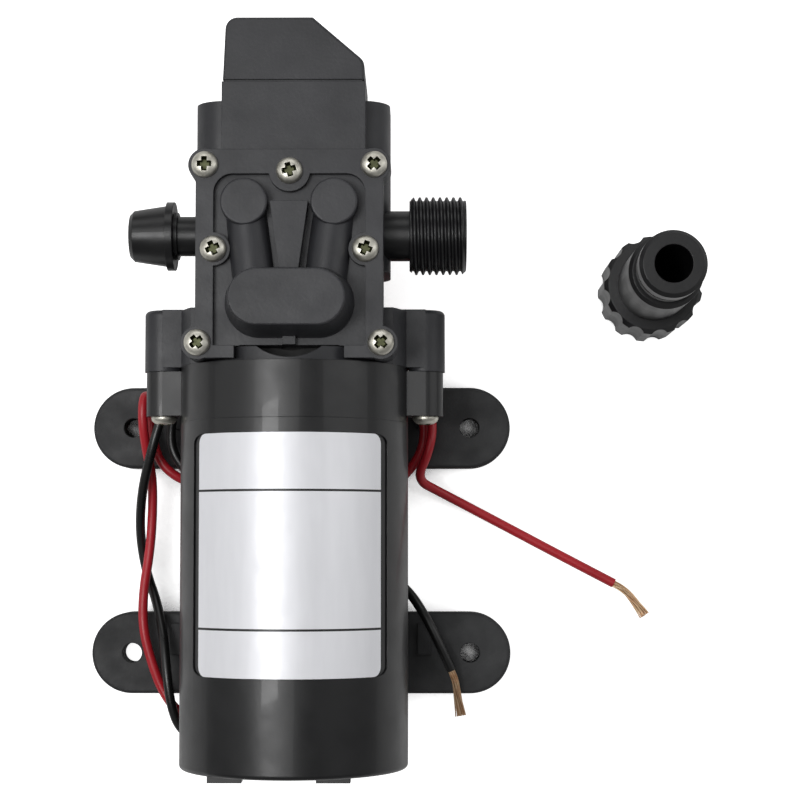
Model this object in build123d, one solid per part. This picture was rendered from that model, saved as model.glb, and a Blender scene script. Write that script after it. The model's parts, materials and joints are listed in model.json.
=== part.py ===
from build123d import *
import os
from math import cos, pi, radians, sin, tan

# A small diaphragm water pump of the kind fitted under the sink of a caravan,
# lying on its rubber feet. Millimetres. The origin is the middle of the four
# foot holes on the ground, +Y points at the pump head, +Z is up.

# Clearances and the overrun of cuts
SEAT_GAP = 0.3       # between curved faces that seat on one another
FIT_GAP = 0.02       # a pressed or clamped fit, on the radius
RUN_GAP = 0.05       # a running fit, on the radius
OVERRUN = 2.0        # how far a cut passes the face that it opens

# Motor
MOTOR_R = 31.0
MOTOR_BOTTOM = 8.0   # the motor's underside over the ground
SLEEVE_L = 93.4
SLEEVE_FRONT_Y = 31.8
SLEEVE_WALL = 1.6
SLEEVE_EDGE_R = 1.2
SLEEVE_END_HOLE_R = 12.0
REAR_LUG_W = 9.0
REAR_LUG_H = 5.0
REAR_LUG_L = 1.8
REAR_LUG_X = (-17.0, 11.5)
REAR_LUG_RISE = 18.0
CAN_WALL = 1.6
CAP_L = 15.0
CAP_WALL = 4.4
CAP_SKIN = 3.0
SHAFT_R = 2.5
SHAFT_NOSE_R = 2.0
BEARING_R = 8.0
BEARING_L = 5.0
SHIELD_SHARE = 0.25    # of a bearing's wall, at each side of its groove
GROOVE_SHARE = 0.08    # of a bearing's length
HUB_WALL = 3.0
BELL_T = 3.0
MAGNET_T = 5.6
MAGNET_OVERHANG = 5.0  # past each end of the core
MAGNET_SPAN = 130.0  # degrees
CORE_R = 20.8
CORE_SHARE = 0.438     # of the can's length
SLOT_COUNT = 12
SLOT_W = 3.2
SLOT_DEPTH = 8.5
SLOT_GAP = 0.4
WINDING_W = 2.4
WINDING_DEPTH = 7.0
WINDING_R = 17.5
WINDING_BORE_R = 7.0
WINDING_END_L = 7.5
WINDING_GAP = 3.1      # from the commutator
WINDING_ROUND = 1.9
WINDING_STEP = 2.5
COMMUTATOR_R = 9.5
COMMUTATOR_L = 13.0
COMMUTATOR_GAP = 7.7   # from the rear bearing
COMMUTATOR_BARS = 12
BAR_CUT = 0.6
BRUSH_SIZE = (8.0, 6.0, 5.0)
BRUSH_WALL = 1.0
BRUSH_TUBE_L = 15.0
BRUSH_SPRING_L = 5.6
BRUSH_SPRING_R = 1.8
BRUSH_WIRE_R = 0.3
CARD_T = 2.0
CARD_HOLE_R = 5.0
CARD_TO_BRUSH = 4.5
TAB_SIZE = (0.8, 4.0, 6.3)
TAB_X = -16.0
TAB_SPACING = 8.0

# Label on the motor
LABEL_ARC = 54.0
LABEL_L = 63.0
LABEL_FRONT_Y = 27.6
LABEL_T = 0.2
LABEL_PROUD = 0.15
LABEL_CORNER_R = 2.7

# Screw ears that hold the motor to the pump
EAR_X = 35.8
EAR_R = 5.3
EAR_CAP_L = 12.1
EAR_CASE_L = 16.8
EAR_SEAM_BACK = 1.0  # the ears part this far behind the cap's front face
EAR_SCREW_L = 20.0
EAR_EDGE_R = 1.4
EAR_STEP = 0.5       # the cap's halves are this much slimmer
EAR_WEB_ANGLE = 30.0  # degrees: where the ears' webs meet the round
SCREW_HEAD_R = 3.5
SCREW_HEAD_H = 2.3
SCREW_R = 1.6
CROSS_L = 3.8
CROSS_W = 0.9
CROSS_DEPTH = 1.3

# Crankcase
DRUM_L = 15.2
CASE_RISE = 15.2     # the crankcase's top over the motor's axis
DECK_T = 4.2
DRUM_WALL = 4.0
COLLAR_R = 27.0
COLLAR_L = 3.9
NOSE_WALL = 1.8
NOSE_H = 37.2
CRANK_FLOOR = 6.0    # the nose's floor thickness
CRANK_HALF_W = 13.4
CASE_BORE_R = 13.0
CASE_BOSS_R = 4.2

# Drive and diaphragm
DIAPHRAGM_Y = 61.5
DIAPHRAGM_R = 13.5
DIAPHRAGM_T = 2.0
DIAPHRAGM_FREE_R = 11.0
CLAMP_R = 7.5
CLAMP_T = 1.5
THROW = 1.5          # the eccentric's offset: the stroke is twice this
ECCENTRIC_R = 4.5
ECCENTRIC_L = 7.0
WEIGHT_R = 8.8
WEIGHT_L = 4.0
ROD_BEARING_R = 8.5
ROD_BEARING_L = 5.0
ROD_WALL = 2.2
ROD_L = 6.0
ROD_NECK_W = 8.0
CLAMP_SCREW_R = 1.5
CLAMP_SCREW_HEAD_R = 3.0
CLAMP_SCREW_L = 7.0
CLAMP_SCREW_CONE = 1.2

# Valve body
HEAD_HALF_W = 24.6
HEAD_GAP = 0.7
HEAD_L = 55.0
SLAB_T = 6.8
SLAB_CORNER_R = 3.0
CHAMBER_R = 10.8
ROOF_T = 3.1
BLOCK_HALF_W = 26.2
BLOCK_Y = 72.0
BLOCK_END_Y = 120.9
BLOCK_SIDE_BACK = 3.4  # the block's sides end this far behind its front
BLOCK_H = 28.0
BLOCK_RISE = 0.8      # its top over the crankcase's top
BLOCK_EDGE_R = 8.0
PORT_Y = 82.0
PORT_DROP = 6.2       # the ports' axis under the crankcase's top
PASSAGE_R = 3.2
RISER_Y = 85.2
PRESSURE_HOLE_R = 1.2
PRESSURE_HOLE_X = 6.8
PRESSURE_HOLE_DROP = 2.0
VALVE_X = 6.4
VALVE_R = 4.0
VALVE_T = 1.0
VALVE_LIFT = 0.8
VALVE_WEB = 2.0
VALVE_STEM_R = 0.8
VALVE_KNOB_R = 1.1
VALVE_KNOB_T = 0.4
KNOB_ROOM_R = 1.5
KNOB_ROOM_H = 1.5
VALVE_GAP = 0.05
FLOW_HOLE_R = 0.8
FLOW_HOLES = 4
FLOW_RADIUS = 2.4
TOWER_R = 5.1
TOWER_H = 3.0

# Head cover
BORDER_T = 4.0
PANEL_T = 2.0
PANEL_HALF_W = 19.9
PANEL_LOW_Y = 50.8
PANEL_L = 45.2
PANEL_CORNER_R = 5.0
BOSS_R = 4.4
NOTCH_HALF_W = 14.4
RING_R = 5.4
TOP_SCREW_X, TOP_SCREW_Y = 22.2, 98.3
MID_SCREW_Y = 96.7
SIDE_SCREW_X, SIDE_SCREW_Y = 19.9, 76.1
LOW_SCREW_X, LOW_SCREW_Y = 24.0, 51.5
COVER_SCREW_L = 16.0
SIDE_SCREW_L = 10.0
BUTTON_X, BUTTON_Y = 11.8, 88.3
BUTTON_R = 6.2
BUTTON_H = 4.6
BUTTON_EDGE_R = 0.6
DUCT_R = 5.5
DUCT_BORE_R = 3.2
DUCT_LOW_RISE = 0.2   # the duct's axis over the panel's underside at the button
DUCT_HIGH_RISE = 2.4  # and at the oblong chamber
DUCT_END_X, DUCT_END_Y = 9.2, 66.0
WEDGE_H = 4.0
WEDGE_TOP_Y, WEDGE_TOP_HALF_W = 88.5, 5.0
WEDGE_LOW_Y, WEDGE_LOW_HALF_W = 70.0, 2.4
OBLONG_Y = 62.2
OBLONG_L = 34.0
OBLONG_W = 18.6
OBLONG_H = 14.0
OBLONG_TAPER = 8.1   # degrees of draft
OBLONG_WALL = 2.4
OBLONG_EDGE_R = 0.5
DIVIDER_T = 1.8
RIB_W = 3.4
RIB_H = 2.0
RIB_END_Y = 56.0

# Pressure switch
SWITCH_LEFT, SWITCH_RIGHT = -18.1, 19.8
SWITCH_RISE = 2.0    # its top over the slab's top
SWITCH_STEP = 0.2    # the cap is this much slimmer than its socket
SWITCH_DRAFT = 0.8   # and its left side leans in by this much
SEAM_W = 0.6
SEAM_DEPTH = 0.6
SWITCH_CAP_L = 17.3
SWITCH_SLANT_X = 5.9
SWITCH_SLANT_Y = 11.8
SWITCH_CORNER_R = 3.2
SWITCH_EDGE_R = 0.8
SWITCH_X = 0.85
SWITCH_DROP = 5.0    # the plunger's axis under the ports'
SENSE_R = 9.0
SENSE_T = 1.5
SENSE_FREE_R = 7.0
SENSE_DEPTH = 3.0
PLUNGER_R = 5.0
PLUNGER_T = 1.7
PLUNGER_STEM_R = 1.8
PLUNGER_TRAVEL = 1.0
GUIDE_DEPTH = 5.8    # from the cap's open face to its inner web
GUIDE_T = 1.3
SPRING_R = 3.1
SPRING_WIRE_R = 0.3
SPRING_TURNS = 4
MICRO_SIZE = (12.8, 5.8, 10.8)
MICRO_TAB_W = 2.0
MICRO_TAB_X = 4.3
BUTTON_PIN_R = 0.8
BUTTON_PIN_L = 2.6
BUTTON_PROUD = 1.2
CAP_SCREW_X = (-13.6, 12.4)
CAP_SCREW_RISE = (6.0, -6.5)  # over the plunger's axis
CAP_SCREW_L = 14.0
CAP_SCREW_SEAT = 6.6  # from the cap's open face to the screw heads' seat
OUTLET_SIZE = (16.0, 4.6, 5.0)
OUTLET_PROUD = 2.0
OUTLET_FLANGE = 1.2

# Ports
SOCKET_X = 19.0
SEAL_T = 1.0
PORT_BORE_R = 4.5
THREAD_NECK_R = 6.75
THREAD_X = 31.45
THREAD_R = 10.4775   # half of the 20.955 mm of a G 1/2 pipe thread
THREAD_L = 15.25
THREAD_CHAMFER = 1.1
SNAP_NECK_R = 5.35
SNAP_SHOULDER_R = 6.4
SNAP_SHOULDER_X = 30.9
SNAP_FLANGE_R = 9.25
SNAP_FLANGE_X = 31.9
SNAP_FLANGE_T = 2.0
SNAP_ROOT_R = 8.25
SNAP_TIP_R = 6.9
SNAP_BARREL_L = 10.0
SNAP_BORE_R = 3.6

# Rubber feet
FOOT_HOLE_X = 48.75
FOOT_HOLE_Y = 32.5
FOOT_HOLE_R = 2.8
FOOT_END_R = 11.7
FOOT_T = 7.0
FOOT_EDGE_R = 1.0
SADDLE_HALF_W = 24.0
SADDLE_H = 14.0
GRIP_X = 35.6
GRIP_W = 4.0
GRIP_L = 9.0
GRIP_H = 1.8
GRIP_SHIFT = 4.0
PAD_SHARE = 0.66     # of the motor's radius, from its middle to a pad
PAD_W = 7.0
PAD_L = 8.0
PAD_H = 5.0
PAD_SCREW_SINK = 3.0

# Leads: insulated wires and their bare ends
WIRE_R = 1.35
STRAND_R = 1.15
GROMMET_ANGLE = 40.0  # degrees below the horizontal, on the motor's left
GROMMET_FROM_REAR = 8.1
GROMMET_SIZE = (4.1, 11.5, 6.0)
LEAD_SPACING = 5.0
LEAD_EXIT_L = 5.4    # how far a motor lead runs straight out of the grommet
CORNER_SHARE = 0.45  # of the shorter run, taken up by a lead's corner

# Loose hose connector that stands beside the pump
LOOSE_X, LOOSE_Y = 100.7, 72.3
NUT_R = 14.0
NUT_H = 21.0
NUT_LOBES = 13
NUT_LOBE_R = 3.0
NUT_LOBE_DEPTH = 1.15
NUT_BORE_R = 9.32    # the crests of the G 1/2 thread inside
NUT_THREAD_L = 11.5
NUT_RELIEF_R = 9.9
NUT_LIP_T = 3.0
NUT_EDGE = 1.2
TAIL_H = 64.0
TAIL_BORE_R = 5.1
TAIL_FLANGE_R = 9.0
TAIL_FLANGE_T = 4.0
TAIL_NECK_R = 8.0
TAIL_SHOULDER_R = 10.2
TAIL_SHOULDER_Z = 49.5
TAIL_WAIST_R = 7.4
TAIL_RING_R = 8.7
TAIL_RING_Z = 52.6
TAIL_RING_T = 2.8
TAIL_NOSE_R = 9.0
TAIL_NOSE_L = 5.6
TAIL_EDGE = 1.0
WASHER_T = 1.5

# Places that follow from the sizes above
MOTOR_Z = MOTOR_BOTTOM + MOTOR_R
SLEEVE_REAR_Y = SLEEVE_FRONT_Y - SLEEVE_L
SLEEVE_BORE_R = MOTOR_R - SLEEVE_WALL
CAN_R = SLEEVE_BORE_R - SEAT_GAP
CAN_BORE_R = CAN_R - CAN_WALL
CAN_FRONT_Y = SLEEVE_FRONT_Y - SEAT_GAP
CAN_REAR_Y = SLEEVE_REAR_Y + SLEEVE_WALL + SEAT_GAP
CAN_L = CAN_FRONT_Y - CAN_REAR_Y
BELL_Y = CAN_REAR_Y + BELL_T
INNER_R = CAN_BORE_R - SEAT_GAP
CAP_FRONT_Y = SLEEVE_FRONT_Y + CAP_L
CAP_WALL_Y = CAP_FRONT_Y - CAP_WALL
EAR_SEAM_Y = CAP_FRONT_Y - EAR_SEAM_BACK
EAR_BACK_Y = EAR_SEAM_Y - EAR_CAP_L
EAR_FRONT_Y = EAR_SEAM_Y + EAR_CASE_L
REAR_BEARING_Y = BELL_Y
COMMUTATOR_REAR_Y = REAR_BEARING_Y + BEARING_L + COMMUTATOR_GAP
CORE_L = CAN_L * CORE_SHARE
WINDING_Y = COMMUTATOR_REAR_Y + COMMUTATOR_L + WINDING_GAP
CORE_Y = WINDING_Y + WINDING_END_L + SLOT_GAP + CORE_L / 2
MAGNET_L = CORE_L + MAGNET_OVERHANG * 2
GROMMET_Y = SLEEVE_REAR_Y + GROMMET_FROM_REAR
BRUSH_Y = COMMUTATOR_REAR_Y + COMMUTATOR_L / 2
CARD_Y = BRUSH_Y - BRUSH_SIZE[1] / 2 - CARD_TO_BRUSH
BRUSH_X = COMMUTATOR_R + SEAT_GAP
CASE_TOP = MOTOR_Z + CASE_RISE
DECK_BOTTOM = CASE_TOP - DECK_T
SEAT_Z = CASE_TOP - DIAPHRAGM_T
DRUM_FRONT_Y = CAP_FRONT_Y + DRUM_L
SEAT_R = DIAPHRAGM_R + SEAT_GAP
NOSE_R = SEAT_R + NOSE_WALL
NOSE_BOTTOM = CASE_TOP - NOSE_H
BLOCK_TOP = CASE_TOP + BLOCK_RISE
BLOCK_BOTTOM = BLOCK_TOP - BLOCK_H
PORT_Z = CASE_TOP - PORT_DROP
PRESSURE_HOLE_Z = PORT_Z - PRESSURE_HOLE_DROP
SWITCH_Z = PORT_Z - SWITCH_DROP
SWITCH_BOTTOM = BLOCK_BOTTOM
CAP_SCREW_PLACES = [(x, SWITCH_Z + rise) for x, rise in zip(CAP_SCREW_X, CAP_SCREW_RISE)]
ROD_TOP = SEAT_Z - THROW
CRANK_Z = MOTOR_Z - THROW
CLAMP_TOP = ROD_TOP + DIAPHRAGM_T + CLAMP_T
SLAB_TOP = CASE_TOP + SLAB_T
ROOF_Z = SLAB_TOP - ROOF_T
SWITCH_TOP = SLAB_TOP + SWITCH_RISE
HEAD_Y = CAP_FRONT_Y + HEAD_GAP
HEAD_END_Y = HEAD_Y + HEAD_L
COVER_TOP = SLAB_TOP + BORDER_T
PANEL_TOP = SLAB_TOP + PANEL_T
INLET_SEAT = SLAB_TOP + TOWER_H - VALVE_WEB
INLET_VALVE_Z = INLET_SEAT - VALVE_GAP - VALVE_T
OUTLET_VALVE_Z = SLAB_TOP + VALVE_GAP
CAP_END_Y = BLOCK_END_Y + SWITCH_CAP_L
BLOCK_SIDE_Y = BLOCK_END_Y - BLOCK_SIDE_BACK
PLUNGER_Y = BLOCK_END_Y + RUN_GAP
GUIDE_Y = BLOCK_END_Y + GUIDE_DEPTH
MICRO_Y = GUIDE_Y + GUIDE_T + SEAT_GAP + BUTTON_PROUD
PORT_SEAT_X = SOCKET_X + SEAL_T
COVER_SCREWS = (
    (-TOP_SCREW_X, TOP_SCREW_Y),
    (0, MID_SCREW_Y),
    (TOP_SCREW_X, TOP_SCREW_Y),
    (-SIDE_SCREW_X, SIDE_SCREW_Y),
    (SIDE_SCREW_X, SIDE_SCREW_Y),
    (-LOW_SCREW_X, LOW_SCREW_Y),
    (LOW_SCREW_X, LOW_SCREW_Y),
)
PAD_X = MOTOR_R * PAD_SHARE
PAD_SCREW_X = PAD_X - SCREW_R
PAD_SCREW_TOP = MOTOR_Z - (SLEEVE_BORE_R**2 - PAD_SCREW_X**2) ** 0.5 - SEAT_GAP
PAD_SCREW_L = PAD_SCREW_TOP - PAD_SCREW_SINK
FRONT_PAD_Y = SLEEVE_FRONT_Y - PAD_L / 2 - OVERRUN
PAD_YS = (FRONT_PAD_Y, -FOOT_HOLE_Y)

# Routes of the leads, from where each one leaves the pump. The red motor
# lead and the red supply lead leave the switch, the black one the motor.
RED_MOTOR_ROUTE = [
    (4.0, 132.2, 18.5),
    (4.6, 128.2, 12.4),
    (6.5, 120.2, 7.8),
    (9.5, 108.4, 5.5),
    (13.0, 94.8, 5.0),
    (14.8, 80.6, 5.4),
    (16.2, 67.0, 7.0),
    (23.2, 55.0, 10.2),
    (30.6, 44.0, 12.8),
    (33.4, 33.0, 13.6),
    (33.0, 24.0, 13.4),
    (27.4, 16.8, 9.6),
    (18.0, 12.6, 5.0),
    (6.0, 12.6, 3.2),
    (-5.0, 14.4, 3.4),
    (-14.6, 14.6, 4.0),
    (-24.5, 14.8, 6.8),
    (-33.8, 16.8, 11.0),
    (-40.2, 21.6, 12.0),
    (-42.6, 29.0, 11.8),
    (-43.2, 36.4, 12.0),
    (-43.8, 41.6, 14.2),
    (-44.4, 40.4, 18.8),
    (-44.6, 33.4, 18.8),
    (-43.8, 25.6, 16.0),
    (-42.4, 18.0, 13.0),
    (-42.6, 7.5, 10.6),
    (-43.4, -3.5, 10.2),
    (-45.0, -14.5, 11.8),
    (-45.0, -25.0, 12.6),
    (-42.6, -34.5, 12.2),
    (-39.4, -43.2, 11.6),
    (-34.8, -49.2, 12.0),
]
BLACK_ROUTE = [
    (-34.2, -53.4, 14.6),
    (-36.4, -46.4, 16.6),
    (-37.6, -37.0, 16.8),
    (-38.7, -27.5, 14.4),
    (-41.4, -18.0, 8.6),
    (-45.2, -9.0, 5.2),
    (-46.6, 2.5, 8.8),
    (-45.0, 14.0, 16.2),
    (-42.0, 24.5, 20.0),
    (-39.6, 33.0, 20.8),
    (-37.2, 39.6, 20.2),
    (-35.4, 39.4, 14.9),
    (-37.2, 31.6, 14.4),
    (-36.4, 24.4, 14.8),
    (-30.8, 17.6, 14.2),
    (-20.5, 11.0, 10.4),
    (-10.0, 5.5, 5.6),
    (2.5, -0.6, 3.4),
    (14.5, -5.6, 3.4),
    (24.0, -9.0, 5.2),
    (31.2, -14.6, 9.8),
    (35.8, -21.6, 13.8),
    (39.8, -29.4, 13.8),
    (43.3, -37.1, 12.0),
]
RED_SUPPLY_ROUTE = [
    (10.5, 132.2, 18.5),
    (11.0, 128.2, 12.4),
    (12.8, 120.2, 7.8),
    (15.6, 108.4, 5.5),
    (18.4, 94.8, 5.0),
    (20.2, 80.6, 5.2),
    (21.0, 67.0, 6.8),
    (28.4, 55.4, 10.6),
    (35.2, 44.5, 13.4),
    (38.2, 33.6, 13.8),
    (36.9, 25.2, 14.8),
    (33.2, 17.4, 10.2),
    (40.0, 14.0, 4.8),
    (49.5, 9.1, 2.8),
    (61.5, 2.8, 1.9),
    (76.4, -5.1, 1.5),
    (90.8, -12.6, 1.45),
]
BLACK_STRANDS_BEND = (44.9, -43.4, 10.6)
BLACK_STRANDS_TIP = (46.1, -50.4, 7.8)
RED_STRANDS_BEND = (96.2, -16.7, 1.3)
RED_STRANDS_TIP = (99.8, -21.9, 1.15)


def bar_y(radius, y0, y1, x=0, z=MOTOR_Z):
    """A round bar along Y, on the motor's axis unless placed elsewhere."""
    return Pos(x, (y0 + y1) / 2, z) * Rot(90, 0, 0) * Cylinder(radius, y1 - y0)


def bar_x(radius, x0, x1, y, z):
    """A round bar along X."""
    return Pos((x0 + x1) / 2, y, z) * Rot(0, 90, 0) * Cylinder(radius, abs(x1 - x0))


def bar_z(radius, z0, z1, x=0, y=0):
    """A round bar along Z."""
    return Pos(x, y, (z0 + z1) / 2) * Cylinder(radius, z1 - z0)


def block(x0, x1, y0, y1, z0, z1):
    """A box between two corners."""
    size = (x1 - x0, y1 - y0, z1 - z0)
    return Pos((x0 + x1) / 2, (y0 + y1) / 2, (z0 + z1) / 2) * Box(*size)


def slab(x0, x1, y0, y1, z0, z1, corner):
    """A box whose upright edges are rounded."""
    return fillet(block(x0, x1, y0, y1, z0, z1).edges().filter_by(Axis.Z), corner)


def turned(points):
    """A body of revolution about Z from (radius, height) corners."""
    outline = Polyline(*[(r, 0, h) for r, h in points], close=True)
    return revolve(make_face(outline), Axis.Z)


def along_y(shape, x, y, z):
    """Lays a body that was turned about Z along +Y, its foot at a place."""
    return Pos(x, y, z) * Rot(-90, 0, 0) * shape


def group(solids):
    """Several separate solids in one node."""
    return Compound(children=list(solids))


def one(shape):
    """The single solid that a cut or a union leaves."""
    solids = shape.solids()
    return solids.sort_by(SortBy.VOLUME)[-1]


def screw(length, radius=SCREW_R, head_r=SCREW_HEAD_R, head_h=SCREW_HEAD_H):
    """A cross-head pan screw along Z, its head standing on z = 0."""
    edge = head_h / 2
    crown = head_r / 2
    head = turned([(0, 0), (head_r, 0), (head_r, edge), (crown, head_h), (0, head_h)])
    shank = bar_z(radius, -length, 0)
    cross = Pos(0, 0, head_h) * (
        Box(CROSS_L, CROSS_W, CROSS_DEPTH * 2) + Box(CROSS_W, CROSS_L, CROSS_DEPTH * 2)
    )
    return one(head + shank - cross)


def cover_screw_length(y):
    """The screws beside the ports are short, because the ports lie below them."""
    return SIDE_SCREW_L if y == SIDE_SCREW_Y else COVER_SCREW_L


def export(name, shape):
    """Writes one node."""
    shape.label = name
    export_step(shape, "parts/" + name + ".step")


# Motor

def label_blank(inner, outer, margin):
    """The part of a thin shell that the label covers, with a margin round it."""
    half_w = outer * sin(LABEL_ARC / MOTOR_R / 2) + margin
    shell = bar_y(outer, LABEL_FRONT_Y - LABEL_L - margin, LABEL_FRONT_Y + margin)
    shell -= bar_y(inner, LABEL_FRONT_Y - LABEL_L - MOTOR_R, LABEL_FRONT_Y + MOTOR_R)
    outline = slab(
        -half_w,
        half_w,
        LABEL_FRONT_Y - LABEL_L - margin,
        LABEL_FRONT_Y + margin,
        MOTOR_Z,
        MOTOR_Z + MOTOR_R * 2,
        LABEL_CORNER_R,
    )
    return shell & outline


def grommet_block(grow):
    """The lead outlet's block, turned to its place on the motor's left flank."""
    depth, length, width = GROMMET_SIZE
    body = Box(depth, length + grow * 2, width + grow * 2)
    body = Pos(SLEEVE_BORE_R + depth / 2, 0, 0) * body
    return Pos(0, GROMMET_Y, MOTOR_Z) * Rot(0, 180 - GROMMET_ANGLE, 0) * body


def foot_pads():
    """Four moulded pads under the motor that take the screws of the feet."""
    pads = []
    for y in PAD_YS:
        for side in (-1, 1):
            x0, x1 = side * PAD_X - PAD_W / 2, side * PAD_X + PAD_W / 2
            y0, y1 = y - PAD_L / 2, y + PAD_L / 2
            pads.append(block(x0, x1, y0, y1, SADDLE_H, SADDLE_H + PAD_H))
    return pads


def motor_sleeve():
    """The plastic sleeve over the motor, closed behind but for a round hole."""
    body = bar_y(MOTOR_R, SLEEVE_REAR_Y, SLEEVE_FRONT_Y)
    rear = body.edges().filter_by(GeomType.CIRCLE).sort_by(Axis.Y)[0]
    body = fillet(rear, SLEEVE_EDGE_R)
    for pad in foot_pads():
        body += pad
    for x in REAR_LUG_X:
        z = MOTOR_Z + REAR_LUG_RISE
        body += block(
            x - REAR_LUG_W / 2,
            x + REAR_LUG_W / 2,
            SLEEVE_REAR_Y - REAR_LUG_L,
            SLEEVE_REAR_Y + SLEEVE_WALL,
            z - REAR_LUG_H / 2,
            z + REAR_LUG_H / 2,
        )
    body -= bar_y(SLEEVE_BORE_R, SLEEVE_REAR_Y + SLEEVE_WALL, SLEEVE_FRONT_Y + OVERRUN)
    body -= bar_y(SLEEVE_END_HOLE_R, SLEEVE_REAR_Y - OVERRUN, SLEEVE_REAR_Y + OVERRUN)
    recess = MOTOR_R + LABEL_PROUD - LABEL_T - SEAT_GAP
    body -= label_blank(recess, MOTOR_R + OVERRUN, SEAT_GAP)
    body -= grommet_block(SEAT_GAP / 2)
    for shank in pad_shanks(FIT_GAP):
        body -= shank
    return one(body)


def pad_shanks(grow):
    """The shanks of the foot screws, or the holes that take them."""
    top = PAD_SCREW_TOP + grow
    places = [(side * PAD_X, y) for y in PAD_YS for side in (-1, 1)]
    return [bar_z(SCREW_R + grow, PAD_SCREW_SINK, top, x, y) for x, y in places]


def motor_label():
    """The metal-faced label wrapped round the top of the sleeve."""
    outer = MOTOR_R + LABEL_PROUD
    return one(label_blank(outer - LABEL_T, outer, 0))


def motor_can():
    """The steel can that carries the magnets."""
    body = bar_y(CAN_R, CAN_REAR_Y, CAN_FRONT_Y)
    return body - bar_y(CAN_BORE_R, CAN_REAR_Y - OVERRUN, CAN_FRONT_Y + OVERRUN)


def field_magnets():
    """Two curved magnets inside the can."""
    magnets = []
    ring = bar_y(INNER_R, -MAGNET_L / 2, MAGNET_L / 2)
    ring -= bar_y(INNER_R - MAGNET_T, -MAGNET_L, MAGNET_L)
    ring = Pos(0, CORE_Y, 0) * ring
    reach = CAN_R * 2
    half = MAGNET_SPAN / 2
    for turn in (0, 180):
        far = (reach * cos(radians(half)), reach * sin(radians(half)))
        wedge = Polyline((0, 0), far, (reach, 0), (far[0], -far[1]), close=True)
        sector = Rot(90, 0, 0) * extrude(make_face(wedge), amount=MAGNET_L, both=True)
        magnets.append(one(ring & (Pos(0, CORE_Y, MOTOR_Z) * Rot(0, turn, 0) * sector)))
    return group(magnets)


def rear_end_bell():
    """The disc that closes the can behind and holds the rear bearing."""
    hub = BEARING_R + HUB_WALL
    body = bar_y(INNER_R, CAN_REAR_Y, BELL_Y)
    body += bar_y(hub, BELL_Y, REAR_BEARING_Y + BEARING_L)
    body -= bar_y(BEARING_R + FIT_GAP, REAR_BEARING_Y, REAR_BEARING_Y + BEARING_L + OVERRUN)
    return body - bar_y(SHAFT_R + SEAT_GAP, CAN_REAR_Y - OVERRUN, BELL_Y + OVERRUN)


def bearing(y0, length, outer, inner, z=MOTOR_Z):
    """A shielded ball bearing as one ring with a groove in each face."""
    body = bar_y(outer, y0, y0 + length, z=z)
    body -= bar_y(inner, y0 - OVERRUN, y0 + length + OVERRUN, z=z)
    ring = (outer - inner) * SHIELD_SHARE
    groove = length * GROOVE_SHARE
    for y in (y0, y0 + length):
        shield = bar_y(outer - ring, y - groove, y + groove, z=z)
        body -= shield - bar_y(inner + ring, y - groove * 2, y + groove * 2, z=z)
    return one(body)


def front_cap():
    """The motor's front cap with the lower halves of the two screw ears."""
    body = bar_y(MOTOR_R, SLEEVE_FRONT_Y, CAP_FRONT_Y)
    ear_r = EAR_R - EAR_STEP
    for side in (-1, 1):
        body += bar_y(ear_r, EAR_BACK_Y, EAR_SEAM_Y, x=side * EAR_X)
        web = (side * MOTOR_R * cos(radians(EAR_WEB_ANGLE)), side * EAR_X)
        body += block(min(web), max(web), EAR_BACK_Y, EAR_SEAM_Y, MOTOR_Z - ear_r, MOTOR_Z + ear_r)
    body -= bar_y(MOTOR_R - CAP_SKIN, SLEEVE_FRONT_Y - OVERRUN, CAP_WALL_Y)
    body += bar_y(BEARING_R + HUB_WALL, CAP_WALL_Y - BEARING_L, CAP_WALL_Y)
    body -= bar_y(BEARING_R + FIT_GAP, CAP_WALL_Y - BEARING_L - OVERRUN, CAP_WALL_Y)
    body -= bar_y(SHAFT_R + SEAT_GAP, CAP_WALL_Y - OVERRUN, CAP_FRONT_Y + OVERRUN)
    for side in (-1, 1):
        rear, front = EAR_BACK_Y - OVERRUN, CAP_FRONT_Y + OVERRUN
        body -= bar_y(SCREW_R + FIT_GAP, rear, front, x=side * EAR_X)
    return one(body)


def rotor_shaft():
    """The motor's shaft with its slimmer nose for the eccentric."""
    shoulder = CAP_FRONT_Y + OVERRUN
    nose = DIAPHRAGM_Y + ECCENTRIC_L / 2
    rear = CAN_REAR_Y + BELL_T / 2
    return bar_y(SHAFT_R, rear, shoulder) + bar_y(SHAFT_NOSE_R, shoulder, nose)


def slot_cutter(width, r0, r1, half_l):
    """One radial slot's box, standing on +Z over the motor's axis."""
    return block(-width / 2, width / 2, -half_l, half_l, MOTOR_Z + r0, MOTOR_Z + r1)


def round_axis(shape, turn):
    """Turns a body about the motor's axis."""
    return Pos(0, 0, MOTOR_Z) * Rot(0, turn, 0) * Pos(0, 0, -MOTOR_Z) * shape


def armature_core():
    """The slotted iron core on the shaft."""
    body = bar_y(CORE_R, -CORE_L / 2, CORE_L / 2)
    body -= bar_y(SHAFT_R + FIT_GAP, -CORE_L, CORE_L)
    cutter = slot_cutter(SLOT_W, CORE_R - SLOT_DEPTH, CORE_R + OVERRUN, CORE_L)
    for step in range(SLOT_COUNT):
        body -= round_axis(cutter, step * 360 / SLOT_COUNT)
    return one(Pos(0, CORE_Y, 0) * body)


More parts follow.
